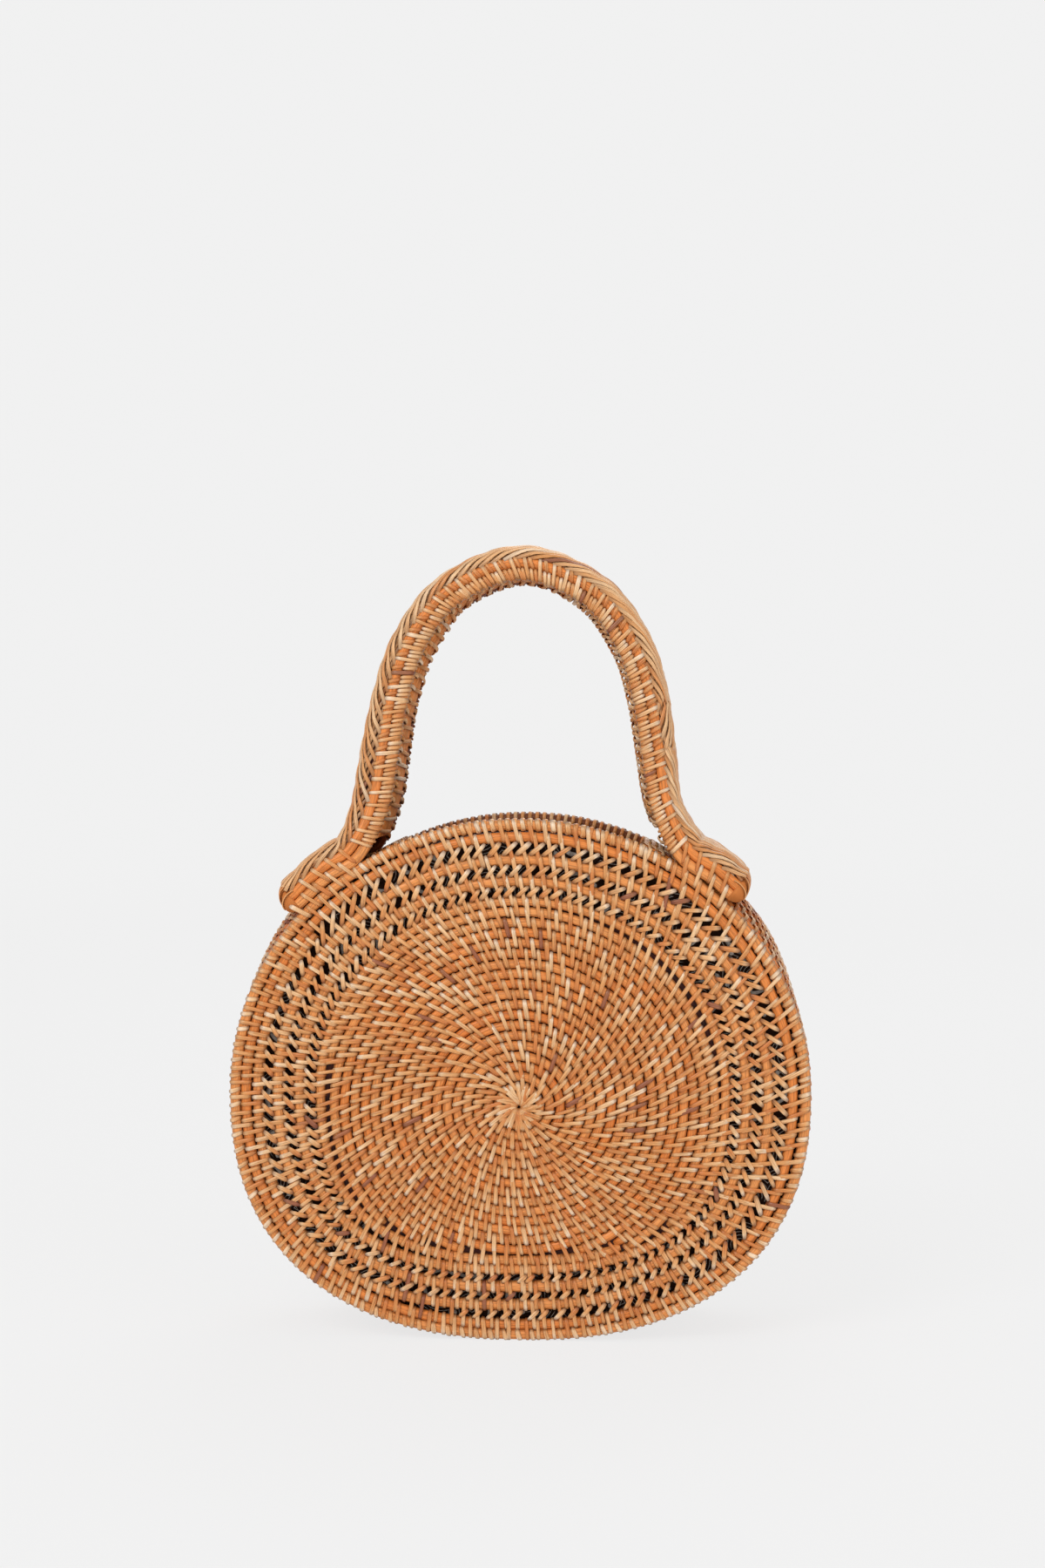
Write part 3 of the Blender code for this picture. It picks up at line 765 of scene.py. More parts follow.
# Painted shade along a strip, darkest at its ends where they pass under the rods
END_TUCK_SHADE = np.array([1, 0.55, 0.08, 0, 0, 0, 0.08, 0.55, 1])
END_GIRTH = np.array([0.75, 0.95, 1, 1, 1, 1, 1, 0.95, 0.75])
# Painted highlight: added to a strip's tone along it, so that it is palest near one end and a little darker
# towards the other, as if lit at that end
PAINTED_END_HIGHLIGHT = np.array([-0.12, -0.12, -0.1, -0.08, -0.02, 0.08, 0.28, 0.32, 0.2])


def over_pair(spacing, near, far, thickness, sag):
    """The way of a strip over two rods of these radii, whose middles lie this far apart."""
    half = spacing / 2
    lift = thickness / 2
    reach = [
        -half - near * 1.02, -half - near * 0.80, -half - near * 0.30, -half + near * 0.35, 0 * half,
        half - far * 0.35, half + far * 0.30, half + far * 0.80, half + far * 1.02,
    ]
    height = [
        near * 0.05, near * 0.62 + lift, near + lift * 0.9, near + lift * 0.9, (near + far) / 2 + lift - sag,
        far + lift * 0.9, far + lift * 0.9, far * 0.62 + lift, far * 0.05,
    ]
    return np.stack(np.broadcast_arrays(*reach), axis=-1), np.stack(np.broadcast_arrays(*height), axis=-1)


def over_one(radius, thick, middle=0.0, reach_share=1.08):
    """The way of a short strip over one rod, whose middle lies this far out."""
    shares = np.linspace(-1, 1, REACH_STEPS)
    height = (radius + thick * 0.5) * np.sqrt(np.clip(1.02 - shares**2, 0, 1))
    return middle + radius * reach_share * shares, height


def lay_strips(strands, origin, ways, profile, lean, spread, uneven, tones, girth=1.0, tuck=1.0, glow=0.0):
    """Strips from these origins, in their ways across, up and along, each with a slight lean and girth of its
    own: the spread of the lean is in degrees, and the girth's a share of it. Tuck scales the painted shade at
    their ends, and glow is a painted highlight added to their tones."""
    count = len(origin)
    leans = lean + strands.random.normal(0, math.radians(spread), count)
    if uneven:
        girth = girth * (1 + strands.random.normal(0, uneven, count))[:, None]
    reach, height = (np.broadcast_to(way, (count, REACH_STEPS)) for way in profile)
    across, up, along = (np.broadcast_to(way, origin.shape)[:, None] for way in ways)
    slanted = reach * np.tan(leans)[:, None]
    lines = origin[:, None] + across * reach[..., None] + along * slanted[..., None] + up * height[..., None]
    slope = np.gradient(height, axis=1) / np.gradient(reach, axis=1)
    facing = up - across * slope[..., None]
    strands.add(lines, facing, girth * END_GIRTH, END_TUCK_SHADE * tuck, (tones[0] + glow, tones[1] + glow))


def face_strips(strands, points, normals, profile, lean, tones=(0.0, 0.8), girth=1.0, side=-1, depth=None,
                spread=1.8, uneven=0.08, tuck=1.0):
    """Strips over rods of the front, or of the back where side is 1, at plane points with normals."""
    origin = at_depth(points, side * (PANEL_PLANE if depth is None else depth))
    ways = (upright(normals), (0.0, float(side), 0.0), upright(quarter_turn(normals)) * -side)
    lay_strips(strands, origin, ways, profile, lean, spread, uneven, tones, girth, tuck, PAINTED_END_HIGHLIGHT)


def wander(random, count, size, waves=7):
    """A smooth closed wobble, as a rod laid by hand has."""
    angle = np.arange(count) / count * 2 * math.pi
    total = np.zeros(count)
    for wave in range(2, waves + 2):
        total += random.normal(0, 1 / wave) * np.sin(wave * angle + random.uniform(0, 2 * math.pi))
    return total * size


def from_ends(count):
    """How many points lie between each point of a line and its nearer end."""
    return np.minimum(np.arange(count), np.arange(count)[::-1])


# Front and back panels
def coil_reach(angle):
    """How far the last rod round the coil lies from its centre, by the angle from the top."""
    rim = row_at(np.linspace(SPIRAL_TURNS - 1, SPIRAL_TURNS - 0.002, 1441))[0] - COIL_CENTRE
    angles = np.arctan2(rim[:, 0], rim[:, 1])
    return np.interp(angle, angles, np.linalg.norm(rim, axis=1), period=2 * math.pi)


def round_centre(angle, radius):
    """Plane points and outward normals at this angle from the top, clockwise, this far from the centre."""
    normals = np.stack([np.sin(angle), np.cos(angle)], axis=-1)
    return normals * np.asarray(radius)[..., None] + COIL_CENTRE, normals


def runs_of(mask):
    """(first, last) of each stretch of a closed row that the mask keeps, or nothing if it keeps it all."""
    if mask.all():
        return None
    start = int(np.argmin(mask))
    turned = np.roll(mask, -start)
    edges = np.flatnonzero(np.diff(np.concatenate([[0], turned.astype(int), [0]])))
    return [(start + first, start + last) for first, last in zip(edges[::2], edges[1::2])]


def turn_pitch(canes, angle):
    """The distance between turns at this angle from the top: they lie closer together below the centre."""
    return canes.coil_pitch * (1 - COIL_SQUEEZE * np.clip(-np.cos(angle), 0, 1) ** 2)


def coil_rods(canes, rods):
    """The coil's turns, cut short where they meet the last rod, which follows the panel's edge."""
    radius = canes.coil_rod / 2
    for row in range(1, COIL_ROWS + 1):
        steps = max(36, row * 14)
        angle = np.arange(steps) / steps * 2 * math.pi
        distance = row * turn_pitch(canes, angle) + wander(rods.random, steps, 0.22 * MM)
        room = coil_reach(angle) - radius - distance
        height = wander(rods.random, steps, 0.12 * MM)
        world = at_depth(round_centre(angle, distance)[0], -PANEL_PLANE - height)
        runs = runs_of(room > radius * 0.35)
        if runs is None:
            rods.add(world[None], FORWARD, closed=True, tones=ROD_TONES)
            continue
        for first, last in runs:
            ends = from_ends(last - first)
            if len(ends) < 4:
                continue
            sunk = world[np.arange(first, last) % steps]
            sunk[:, 1] += np.clip(1 - ends / 2, 0, 1) * radius * 0.9
            rods.add(sunk[None], FORWARD, np.clip(0.8 + ends * 0.1, 0, 1), tones=ROD_TONES)


def row_rod(rods, turns, girth=1.0, closed=True):
    """A rod that follows the rows from turn to turn. An open one sinks under its neighbours at its ends."""
    count = len(turns)
    points, normals = row_at(turns)
    points = points + normals * wander(rods.random, count, 0.25 * MM)[:, None]
    world = at_depth(points, -PANEL_PLANE - wander(rods.random, count, 0.12 * MM))
    if not closed:
        world[:, 1] += np.clip(1 - from_ends(count) / 3, 0, 1) * 2.2 * MM
    rods.add(world[None], FORWARD, girth, closed=closed, tones=ROD_TONES)


def row_radius(canes, turns):
    """The rods' radius at these turns: handle on the feet, then rims, open rows and coil."""
    rods = (canes.handle_rod, canes.rim_rod, canes.rim_rod, canes.open_rod, canes.open_rod, canes.coil_rod)
    return np.interp(turns, (-2.01, -1.99, 0.25, 0.4, 2.15, 2.4), np.array(rods) / 2)


def lashing_step(weave):
    """The share of a turn between two strips. The half strip sets each turn half a step on from the last."""
    return 1 / (weave.ring_lashings + 0.5)


def coil_lean(weave, angle):
    """How far the coil's strips lean, by the angle from the top, clockwise."""
    return weave.lean * from_table(COIL_LEAN_SHARES, np.degrees(angle) % 360)


def bonded_rows(canes, weave, random):
    """The strips' angles on each pair of turns: each halfway between two of the last pair's, or two there."""
    whole = 2 * math.pi
    angle = np.arange(12) / 12 * whole
    found = [angle]
    for row in range(2, COIL_ROWS):
        step = weave.coil_step if row > 3 else weave.star_step + (weave.coil_step - weave.star_step) * row / 5
        wanted = round(whole * (row + 0.5) * canes.coil_pitch / step)
        gaps = np.diff(np.append(angle, angle[0] + whole))
        order = np.argsort(-gaps / gaps.mean() - random.uniform(0, 0.5, len(gaps)))
        split = np.zeros(len(angle), bool)
        split[order[: max(0, wanted - len(angle))]] = True
        places = [angle[~split] + gaps[~split] / 2]
        places += [angle[split] + gaps[split] * share for share in (0.27, 0.73)]
        angle = np.sort(np.concatenate(places))
        for _ in range(3):
            before, after = np.roll(angle, 1), np.roll(angle, -1)
            before[0] -= whole
            after[-1] += whole
            angle = angle + (before + after - 2 * angle) * 0.22
        angle = angle - np.tan(coil_lean(weave, angle)) * 0.4 / (row + 0.5)
        found.append(angle)
    return found


def coil_lashing(canes, weave, strips):
    """Strips over each pair of turns, half a step on from pair to pair, with a star at the centre."""
    pitch, radius, thick = canes.coil_pitch, canes.coil_rod / 2, canes.strip_thickness
    for row, angle in enumerate(bonded_rows(canes, weave, strips.random), start=1):
        angle = angle + strips.random.normal(0, 0.03 * weave.coil_step, len(angle)) / (row * pitch)
        middle = (row + 0.5) * turn_pitch(canes, angle)
        kept = coil_reach(angle) - radius - middle > pitch * 0.5 + radius * 0.4
        angle, middle = angle[kept], middle[kept]
        profile = over_pair(turn_pitch(canes, angle), radius, radius, thick, 0.25 * MM)
        face_strips(strips, *round_centre(angle, middle), profile, coil_lean(weave, angle))
    points, normals = round_centre(np.arange(21) / 21 * 2 * math.pi, np.full(21, 1.25 * pitch))
    profile = over_pair(1.35 * pitch, radius * 0.9, radius, thick, 0.1 * MM)
    face_strips(strips, points, normals, profile, weave.lean * 0.5, tones=(0.15, 0.8), girth=0.85)


def last_lashing(canes, weave, strips):
    """Strips that bind the coil's outermost turn to the last rod, whatever the room between them."""
    rim = row_at(even_turns(SPIRAL_TURNS, SPIRAL_TURNS + 1, lashing_step(weave)), 1)[0] - COIL_CENTRE
    reach = np.linalg.norm(rim, axis=1)
    outward = rim / reach[:, None]
    angle = np.arctan2(outward[:, 0], outward[:, 1])
    radius, pitch = canes.coil_rod / 2, turn_pitch(canes, angle)
    turn = np.minimum(COIL_ROWS, np.floor((reach - radius * 1.35) / pitch)) * pitch
    points = outward * ((reach + turn) / 2)[:, None] + COIL_CENTRE
    profile = over_pair(reach - turn, radius, radius, canes.strip_thickness, 0.3 * MM)
    face_strips(strips, points, outward, profile, coil_lean(weave, angle))


def disc_bed(name, finish):
    """The dark ground between the coil's turns: a sheet that stands for the shade deep in the weave."""
    rim, _ = row_at(np.linspace(SPIRAL_TURNS, SPIRAL_TURNS - 1, 160, endpoint=False))
    front = at_depth(rim, -PANEL_PLANE + 0.6 * MM)
    count = len(rim)
    faces = [list(range(count)), list(range(2 * count - 1, count - 1, -1))]
    faces += [[k, k + count, (k + 1) % count + count, (k + 1) % count] for k in range(count)]
    return placed(name, plain_mesh(name, np.vstack([front, front + (0, 1.2 * MM, 0)]), faces, finish))


def on_foot(points):
    """Which plane points lie beside one of the handle's feet."""
    x, z = points[:, 0], points[:, 1]
    beside_toes = (x > 1 * MM - LEFT_TOE_REACH) & (x < RIGHT_TOE_REACH - 1 * MM)
    return beside_toes & (np.abs(x) > FOOT_INNER_REACH) & (z > WIDEST_LINE_HEIGHT)


def row_lashing(canes, weave, strips, turns, side=-1):
    """Strips over the row at these turns and the one outside it. Gives the gaps' middles, ways and widths."""
    near, far = row_at(turns)[0], row_at(turns, 1)[0]
    spacing = np.linalg.norm(far - near, axis=1)
    middle, outward = (near + far) / 2, (far - near) / spacing[:, None]
    sag = np.interp(spacing, (6 * MM, 9 * MM), (0.3 * MM, 0.9 * MM))
    radii = row_radius(canes, turns), row_radius(canes, turns - 1)
    profile = over_pair(spacing, *radii, canes.strip_thickness, sag)
    lean = weave.lean * np.where(turns < -1, 1.1, from_table(LEAN_SHARES, turns % 1))
    face_strips(strips, middle, outward, profile, lean, side=side)
    return middle, outward, spacing


def gap_knots(canes, knots, middle, outward, spacing):
    """A knot over the strip in each open gap, which leans the other way."""
    half = spacing / 2 - canes.open_rod * 0.4
    shares = np.linspace(-1, 1, REACH_STEPS)
    height = canes.open_rod * 0.33 + canes.strip_thickness * (0.3 + 0.9 * (1 - shares**2)) + 0.3 * MM
    profile = (half[:, None] * shares, height)
    face_strips(knots, middle, outward, profile, math.radians(-46), (0.1, 0.75), 1.12)


def rim_bumps(canes, weave, strips):
    """Short strips over the outer rim rod, between the long ones, but not under the handle's feet."""
    points, normals = row_at(even_turns(-2, -1, lashing_step(weave)))
    free = ~on_foot(points)
    profile = over_one(canes.rim_rod / 2, canes.strip_thickness)
    face_strips(strips, points[free], normals[free], profile, weave.lean, (0.3, 1.0), 1.1)


def mouth_loops(canes, weave, strips):
    """Loops of split cane right round the outer rim rod where the mouth shows its inner side."""
    points, normals = row_at(even_turns(-2, -1, lashing_step(weave) / 2))
    mouth = (np.abs(points[:, 0]) < MOUTH_HALF_WIDTH + 4 * MM) & (points[:, 1] > WIDEST_LINE_HEIGHT)
    angle = np.arange(12)[:, None] / 12 * 2 * math.pi
    facing = upright(normals[mouth])[:, None] * np.cos(angle) + np.array(BACKWARD) * np.sin(angle)
    middle = at_depth(points[mouth], -PANEL_PLANE)[:, None]
    lines = middle + facing * (canes.rim_rod + canes.strip_thickness * 0.5) / 2
    strips.add(lines, facing, tones=(0.1, 0.8), closed=True)


class BAG_OT_weave_coils(bpy.types.Operator):
    """Coils the rods of both panels and lashes them"""

    bl_idname = "bag.weave_coils"
    bl_label = "Weave coils"

    def execute(self, context):
        canes, weave, finishes = chosen(context)
        rods, strips = Strands(11), Strands(12)
        coil_rods(canes, rods)
        piece = rods.bake("front_coil_rods", rod_size(canes, canes.coil_rod), rod_finish(finishes))
        both_panels(piece, ["coil_disc"])
        coil_lashing(canes, weave, strips)
        last_lashing(canes, weave, strips)
        piece = strips.bake("front_coil_lashing", strip_size(canes), strip_finish(finishes))
        both_panels(piece, ["coil_disc"])
        both_panels(disc_bed("front_coil_bed", painted_shade_finish(finishes)), ["coil_disc"])
        return {"FINISHED"}


class BAG_OT_weave_rims(bpy.types.Operator):
    """Sets the rods of the open rows and the rims, with their lashing and knots"""

    bl_idname = "bag.weave_rims"
    bl_label = "Weave open rows and rims"

    def execute(self, context):
        canes, weave, finishes = chosen(context)
        open_rods, rim_rods, strips, knots = (Strands(seed) for seed in (21, 22, 23, 24))
        turns = np.linspace(0, SPIRAL_TURNS, 1100)
        row_rod(open_rods, turns, row_radius(canes, turns) / canes.open_rod * 2, closed=False)
        piece = open_rods.bake("front_open_rods", rod_size(canes, canes.open_rod), rod_finish(finishes))
        both_panels(piece, ["open_rod_inner", "open_rod_outer"])
        for first in (-1, -2):
            row_rod(rim_rods, first + np.arange(400) / 400)
        piece = rim_rods.bake("front_rim_rods", rod_size(canes, canes.rim_rod), rod_finish(finishes), 0.0)
        both_panels(piece, ["rim_rod_inner", "rim_rod_outer"])
        step = lashing_step(weave)
        turns = even_turns(-1, SPIRAL_TURNS, step)
        turns = turns + strips.random.normal(0, 0.06, len(turns)) * step
        ties = row_lashing(canes, weave, strips, turns)
        gap_knots(canes, knots, *(values[ties[2] > OPEN_GAP] for values in ties))
        rim_bumps(canes, weave, strips)
        mouth_loops(canes, weave, strips)
        both_panels(strips.bake("front_open_lashing", strip_size(canes), strip_finish(finishes), 0.0), [])
        both_panels(knots.bake("front_knots", strip_size(canes), strip_finish(finishes)), [])
        return {"FINISHED"}


# Gusset
def gusset_place(line, y, out):
    """World points at this depth and this far out from the gusset, which swells at the shoulders."""
    points, normals, run = line
    rise = smooth_step((run - BULGE_START) / BULGE_RISE)
    bulge = SHOULDER_BULGE * rise * (1 - smooth_step((run - BULGE_HOLD) / BULGE_FADE))
    return beside(points, normals, out + bulge * (1 - (y / GUSSET_HALF_DEPTH) ** 2), y)


class BAG_OT_weave_gusset(bpy.types.Operator):
    """Lays the gusset's canes side by side and lashes them in pairs"""

    bl_idname = "bag.weave_gusset"
    bl_label = "Weave gusset"

    def execute(self, context):
        canes, weave, finishes = chosen(context)
        pitch = 2 * GUSSET_HALF_DEPTH / GUSSET_CANES
        radius = pitch / 2
        sunk = -radius - 0.3 * MM
        line, whole = gusset_line(LINE_STEPS), np.arange(LINE_STEPS)
        rods, strips = Strands(31), Strands(32)
        places = -GUSSET_HALF_DEPTH + (np.arange(GUSSET_CANES) + 0.5) * pitch
        for y in places:
            rods.add(gusset_place(line, y, sunk)[None], upright(line[1]), tones=(0.1, 0.8))
        piece = rods.bake("gusset_canes", rod_size(canes, pitch), rod_finish(finishes), 0.0)
        settle(piece, ["gusset_band"])
        run = lengths_along(line[0])
        count = int(run[-1] / weave.gusset_step)
        profile = over_pair(pitch, radius, radius, canes.strip_thickness, 0.25 * MM)
        for pair in range(GUSSET_CANES - 1):
            at = (np.arange(count) + 0.25 + 0.5 * (pair % 2)) / count * run[-1]
            index = np.interp(np.clip(at, 0, run[-1]), run, whole)
            spot = between(line[0], index), between(line[1], index), np.interp(index, whole, line[2])
            origin = gusset_place(spot, (places[pair] + places[pair + 1]) / 2, sunk)
            ways = BACKWARD, unit(upright(spot[1])), upright(quarter_turn(spot[1]))
            lay_strips(strips, origin, ways, profile, weave.lean, 2.5, 0.08, (0.0, 1.0))
        settle(strips.bake("gusset_lashing", strip_size(canes), strip_finish(finishes), 0.0), [])
        return {"FINISHED"}


# Handle
def leg_steps(step, random):
    """Even steps along both legs and over the arch, as lengths along the handle's line."""
    legs = HANDLE.run[np.abs(HANDLE.points[:, 0]) < FOOT_INNER_REACH]
    count = int(np.ptp(legs) / step)
    return np.linspace(legs[0], legs[-1], count) + random.normal(0, 0.3 * MM, count)


def handle_strips(strands, run, side, profile, lean, tones=(0.0, 0.8), girth=1.0, tuck=1.0):
    """Strips over the handle's face rods, in front where side is -1 and behind where it is 1."""
    points, normals, half = HANDLE.at(run)
    face_strips(strands, points, normals, profile, lean, tones, girth, side, half, 2.5, 0.07, tuck)


class BAG_OT_lay_handle_rods(bpy.types.Operator):
    """Bends the handle's face rods over the arch and along the feet, and lashes them"""

    bl_idname = "bag.lay_handle_rods"
    bl_label = "Lay handle rods"

    def execute(self, context):
        canes, weave, finishes = chosen(context)
        radius, thick, half_pitch = canes.handle_rod / 2, canes.strip_thickness, HANDLE_ROD_PITCH / 2
        points, normals, half = HANDLE.at(np.linspace(0, HANDLE.length, LINE_STEPS))
        feet = even_turns(-3, -1, lashing_step(weave))
        feet = feet[on_foot(row_at(feet)[0])]
        pair = over_pair(HANDLE_ROD_PITCH, radius, radius, thick, 0.3 * MM)
        inner, outer = over_one(radius, thick, -half_pitch, 1.2), over_one(radius, thick, half_pitch)
        for side, word in ((-1, "front"), (1, "back")):
            rods, strips = Strands(41 + side), Strands(45 + side)
            for out in (-half_pitch, half_pitch):
                bend = wander(rods.random, LINE_STEPS, 0.15 * MM)
                line = beside(points, normals, out + bend, side * half)
                rods.add(line[None], (0.0, float(side), 0.0), tones=ROD_TONES)
            size = rod_size(canes, canes.handle_rod)
            rod = rods.bake("handle_" + word + "_rods", size, rod_finish(finishes))
            settle(rod, ["handle_" + word + "_outer_rod", "handle_" + word + "_inner_rod"])
            steps = leg_steps(weave.handle_step, strips.random)
            handle_strips(strips, steps, side, pair, weave.lean * 0.85, (0.3, 0.9), 0.92)
            for share in (1 / 3, 2 / 3):
                run = steps[:-1] + np.diff(steps) * share
                handle_strips(strips, run, side, inner, weave.lean, (0.1, 0.8), 0.85, 0.4)
            upper = steps[:-1] + np.diff(steps) / 2
            upper = upper[HANDLE.at(upper)[0][:, 1] > UPPER_LEG_HEIGHT]
            # Short strips over the outer rod high on the legs: their dark tones are painted shade under the
            # braid's edge, with painted shade at their ends too
            handle_strips(strips, upper, side, outer, weave.lean * 1.6, (0.02, 0.3), 0.9, 0.6)
            row_lashing(canes, weave, strips, feet, side)
            lashing = strips.bake("handle_" + word + "_lashing", strip_size(canes), strip_finish(finishes))
            settle(lashing, [])
        return {"FINISHED"}


def braid_section():
    """Shares of the way over the braid from front to back, and the shares of its depth and height there."""
    angle = np.linspace(-math.pi / 2, math.pi / 2, 721)
    power = 2 / BRAID_SQUARENESS
    depth = np.sign(angle) * np.abs(np.sin(angle)) ** power
    height = np.clip(np.cos(angle), 0, 1) ** power
    run = lengths_along(np.stack([depth * PANEL_PLANE * 0.8, height * BRAID_RISE], axis=1))
    return run / run[-1] * 2 - 1, depth, height


BRAID_SECTION = braid_section()


def braid_place(run, share, rise, drop=0.0):
    """World points on the braid, from share -1 at its front edge to 1 at its back edge, and their facings."""
    points, normals, half = HANDLE.at(run)
    half = half + BRAID_OVERHANG
    sizes = [from_table(np.array(swell) * MM, points[..., 1]) for swell in (LEFT_SWELL, RIGHT_SWELL)]
    rise = rise + np.where(points[..., 0] < 0, *sizes)
    depth, height = (np.interp(share, BRAID_SECTION[0], values) for values in BRAID_SECTION[1:])
    power = BRAID_SQUARENESS - 1
    back = np.sign(depth) * np.abs(depth) ** power / half
    out = height**power / rise
    steep = np.hypot(back, out)
    facing = at_depth(normals * (out / steep)[..., None], back / steep)
    tucked = np.clip(np.abs(share) - 1, 0, 1) * half
    place = beside(points, normals, BRAID_BASE + rise * height - tucked, half * depth)
    return place - facing * np.broadcast_to(drop, share.shape)[..., None], facing


def braid_family(strands, weave, forward, steps=52):
    """One of the braid's two sets of slanting strips. Each goes over two of the other set and under two."""
    slant = math.tan(weave.braid_angle) * forward
    room = abs(slant) * PANEL_PLANE * 0.9
    for number in range(int((HANDLE.length + 2 * room) / weave.braid_step)):
        middle = -room + (number + 0.5) * weave.braid_step + strands.random.normal(0, 0.25 * MM)
        near_middle = HANDLE.at(np.clip(middle, 0, HANDLE.length) + np.zeros(1))[2]
        reach = slant * np.minimum(near_middle, 0.8 * PANEL_PLANE) * 1.1
        share = np.linspace(-1.03, 1.03, 600)
        whole = middle + reach * share
        inside = share[(whole > 0) & (whole < HANDLE.length)]
        if len(inside) < 20:
            continue
        share = np.linspace(inside[0], inside[-1], steps)
        run = np.clip(middle + reach * share, 0, HANDLE.length)
        crossing = 2 * reach * forward * share / weave.braid_step
        wave = forward * np.cos(math.pi * number + forward * math.pi / 2 * crossing + 0.4)
        x, z = HANDLE.at(run)[0].T
        turned = (x > 0) & (z > REVERSED_SPAN[0]) & (z < REVERSED_SPAN[1]) & (share < 0)
        bias = forward * np.clip(share * 2.2, -1, 1) * np.where(turned, -1, 1)
        over = np.clip(0.45 * wave - 0.85 * bias, -1, 1)
        places, facing = braid_place(run, share, weave.braid_rise, 0.9 * MM - 0.75 * MM * over)
        # Painted shade where a strip runs under the other set and where it turns under the braid's edges
        tuck = np.clip(-over, 0, 1) * 0.5 + np.clip((np.abs(share) - 0.93) / 0.1, 0, 1) * 0.6
        low = 0.05 + 0.5 * strands.random.random()
        strands.add(places[None], facing, 1.0, np.clip(tuck, 0, 1), (low, low + 0.45))


def handle_shell(name, section, finish):
    """A closed shell through the sections of the handle that section(run) gives, from toe to toe."""
    runs = np.linspace(0.5 * MM, HANDLE.length - 0.5 * MM, 220)
    return ring_shell(name, [section(run) for run in runs], finish)


def braid_bed(weave, finish):
    """A dark closed body under the braid's strips, standing for the shade between them."""
    share = np.linspace(-1, 1, 25)

    def section(run):
        top, _ = braid_place(np.full(25, run), share, weave.braid_rise, BRAID_DROP)
        points, normals, half = HANDLE.at(np.full(2, run))
        return np.vstack([top, beside(points, normals, 3 * MM, np.array([0.9, -0.9]) * half)])

    return handle_shell("handle_braid_bed", section, finish)


def handle_body(finish):
    """The dark closed body between the handle's rods, raised over the gusset on the feet, in the painted
    shade finish.
    """

    def section(run):
        points, normals, half = HANDLE.at(np.full(4, run))
        low = np.interp(abs(points[0, 0]), BODY_RISE_SPAN, (-BODY_HALF_HEIGHT, BODY_FOOT_HEIGHT))
        out = np.array([low, low, BODY_HALF_HEIGHT, BODY_HALF_HEIGHT])
        return beside(points, normals, out, np.array([-0.92, 0.92, 0.92, -0.92]) * half)

    return handle_shell("handle_core_body", section, finish)


class BAG_OT_braid_handle(bpy.types.Operator):
    """Braids split cane over the handle's outer side"""

    bl_idname = "bag.braid_handle"
    bl_label = "Braid handle"

    def execute(self, context):
        canes, weave, finishes = chosen(context)
        settle(braid_bed(weave, painted_shade_finish(finishes)), ["handle_outer_braid"])
        braid = Strands(52)
        for forward in (-1, 1):
            braid_family(braid, weave, forward)
        strips = braid.bake("handle_braid", strip_size(canes), strip_finish(finishes))
        settle(strips, ["handle_outer_braid"])
        settle(handle_body(painted_shade_finish(finishes)), ["handle_core"])
        return {"FINISHED"}


def inner_dome(points, share):
    """How far the inner face swells beyond its rods: hardly low on the left leg and at the top."""
    left = from_table(np.array(LEFT_INNER_SWELL) * MM, points[..., 1])
    right = 2.0 * MM * smooth_step((points[..., 0] - 5 * MM) / (45 * MM)) + 0.4 * MM
    return INNER_FACE_EDGE + np.where(points[..., 0] < 0, left, right) * (1 - share**2)


def inner_bars(strips, canes, run, first, last, lean):
    """Strips laid across the inner face between two shares of its depth."""
    points, normals, half = HANDLE.at(run)
    shares = np.linspace(first, last, REACH_STEPS)
    base = BRAID_BASE + inner_dome(points[:, None], shares)
    height = base + canes.strip_thickness / 2 - np.array([2.0, 0.5, 0, 0, 0, 0, 0, 0.5, 2.0]) * MM
    profile = ((half - INNER_FACE_ROOM)[:, None] * shares, height)
    ways = BACKWARD, -upright(normals), upright(quarter_turn(normals))
    lay_strips(strips, upright(points), ways, profile, lean, 2.5, None, (0.25, 1.0), tuck=0.6)


class BAG_OT_weave_inner_face(bpy.types.Operator):
    """Lays canes along the handle's inner side and lashes them in pairs"""

    bl_idname = "bag.weave_inner_face"
    bl_label = "Weave inner face"

    def execute(self, context):
        canes, weave, finishes = chosen(context)
        rods, strips = Strands(61), Strands(62)
        share = INNER_WEAVE_END_SHARE
        first, last = HANDLE.apex * (1 - share), HANDLE.apex + (HANDLE.length - HANDLE.apex) * share
        points, normals, half = HANDLE.at(np.linspace(first, last, 200))
        half = half - INNER_FACE_ROOM
        for number, share in enumerate(np.linspace(-1, 1, INNER_CANES * 2 + 1)[1::2]):
            edge = number in (0, INNER_CANES - 1)
            # The two edge canes sink deeper, take low tones and carry painted shade
            lift, tuck, tones = (-3.4 * MM, 0.45, (0.0, 0.15)) if edge else (-2.2 * MM, 0.0, (0.3, 1.0))
            out = -(BRAID_BASE + inner_dome(points, share) + lift)
            line = beside(points, normals, out, half * share)
            rods.add(line[None], -upright(normals), half / PANEL_PLANE, tuck, tones)
        size = rod_size(canes, 2.06 * PANEL_PLANE / INNER_CANES, 4.4 * MM)
        piece = rods.bake("handle_inner_canes", size, rod_finish(finishes, True))
        settle(piece, ["handle_inner_weave"])
        step = weave.handle_step
        count = int((last - first) / step)
        at = first + (np.arange(count) + 0.4) * (last - first) / count
        at = np.concatenate([at, at[HANDLE.at(at)[0][:, 0] > 20 * MM] + step / 2])
        at = at[at < last - 3 * MM]
        inner_bars(strips, canes, at, -0.86, 0.86, weave.lean * 0.3)
        edge = at + step * 0.5
        edge = edge[edge < last - 3 * MM]
        for span in ((-1.0, -0.72), (0.72, 1.0)):
            inner_bars(strips, canes, edge, *span, weave.lean)
        bars = strips.bake("handle_inner_lashing", strip_size(canes), strip_finish(finishes, True))
        settle(bars, ["handle_inner_weave"])
        return {"FINISHED"}


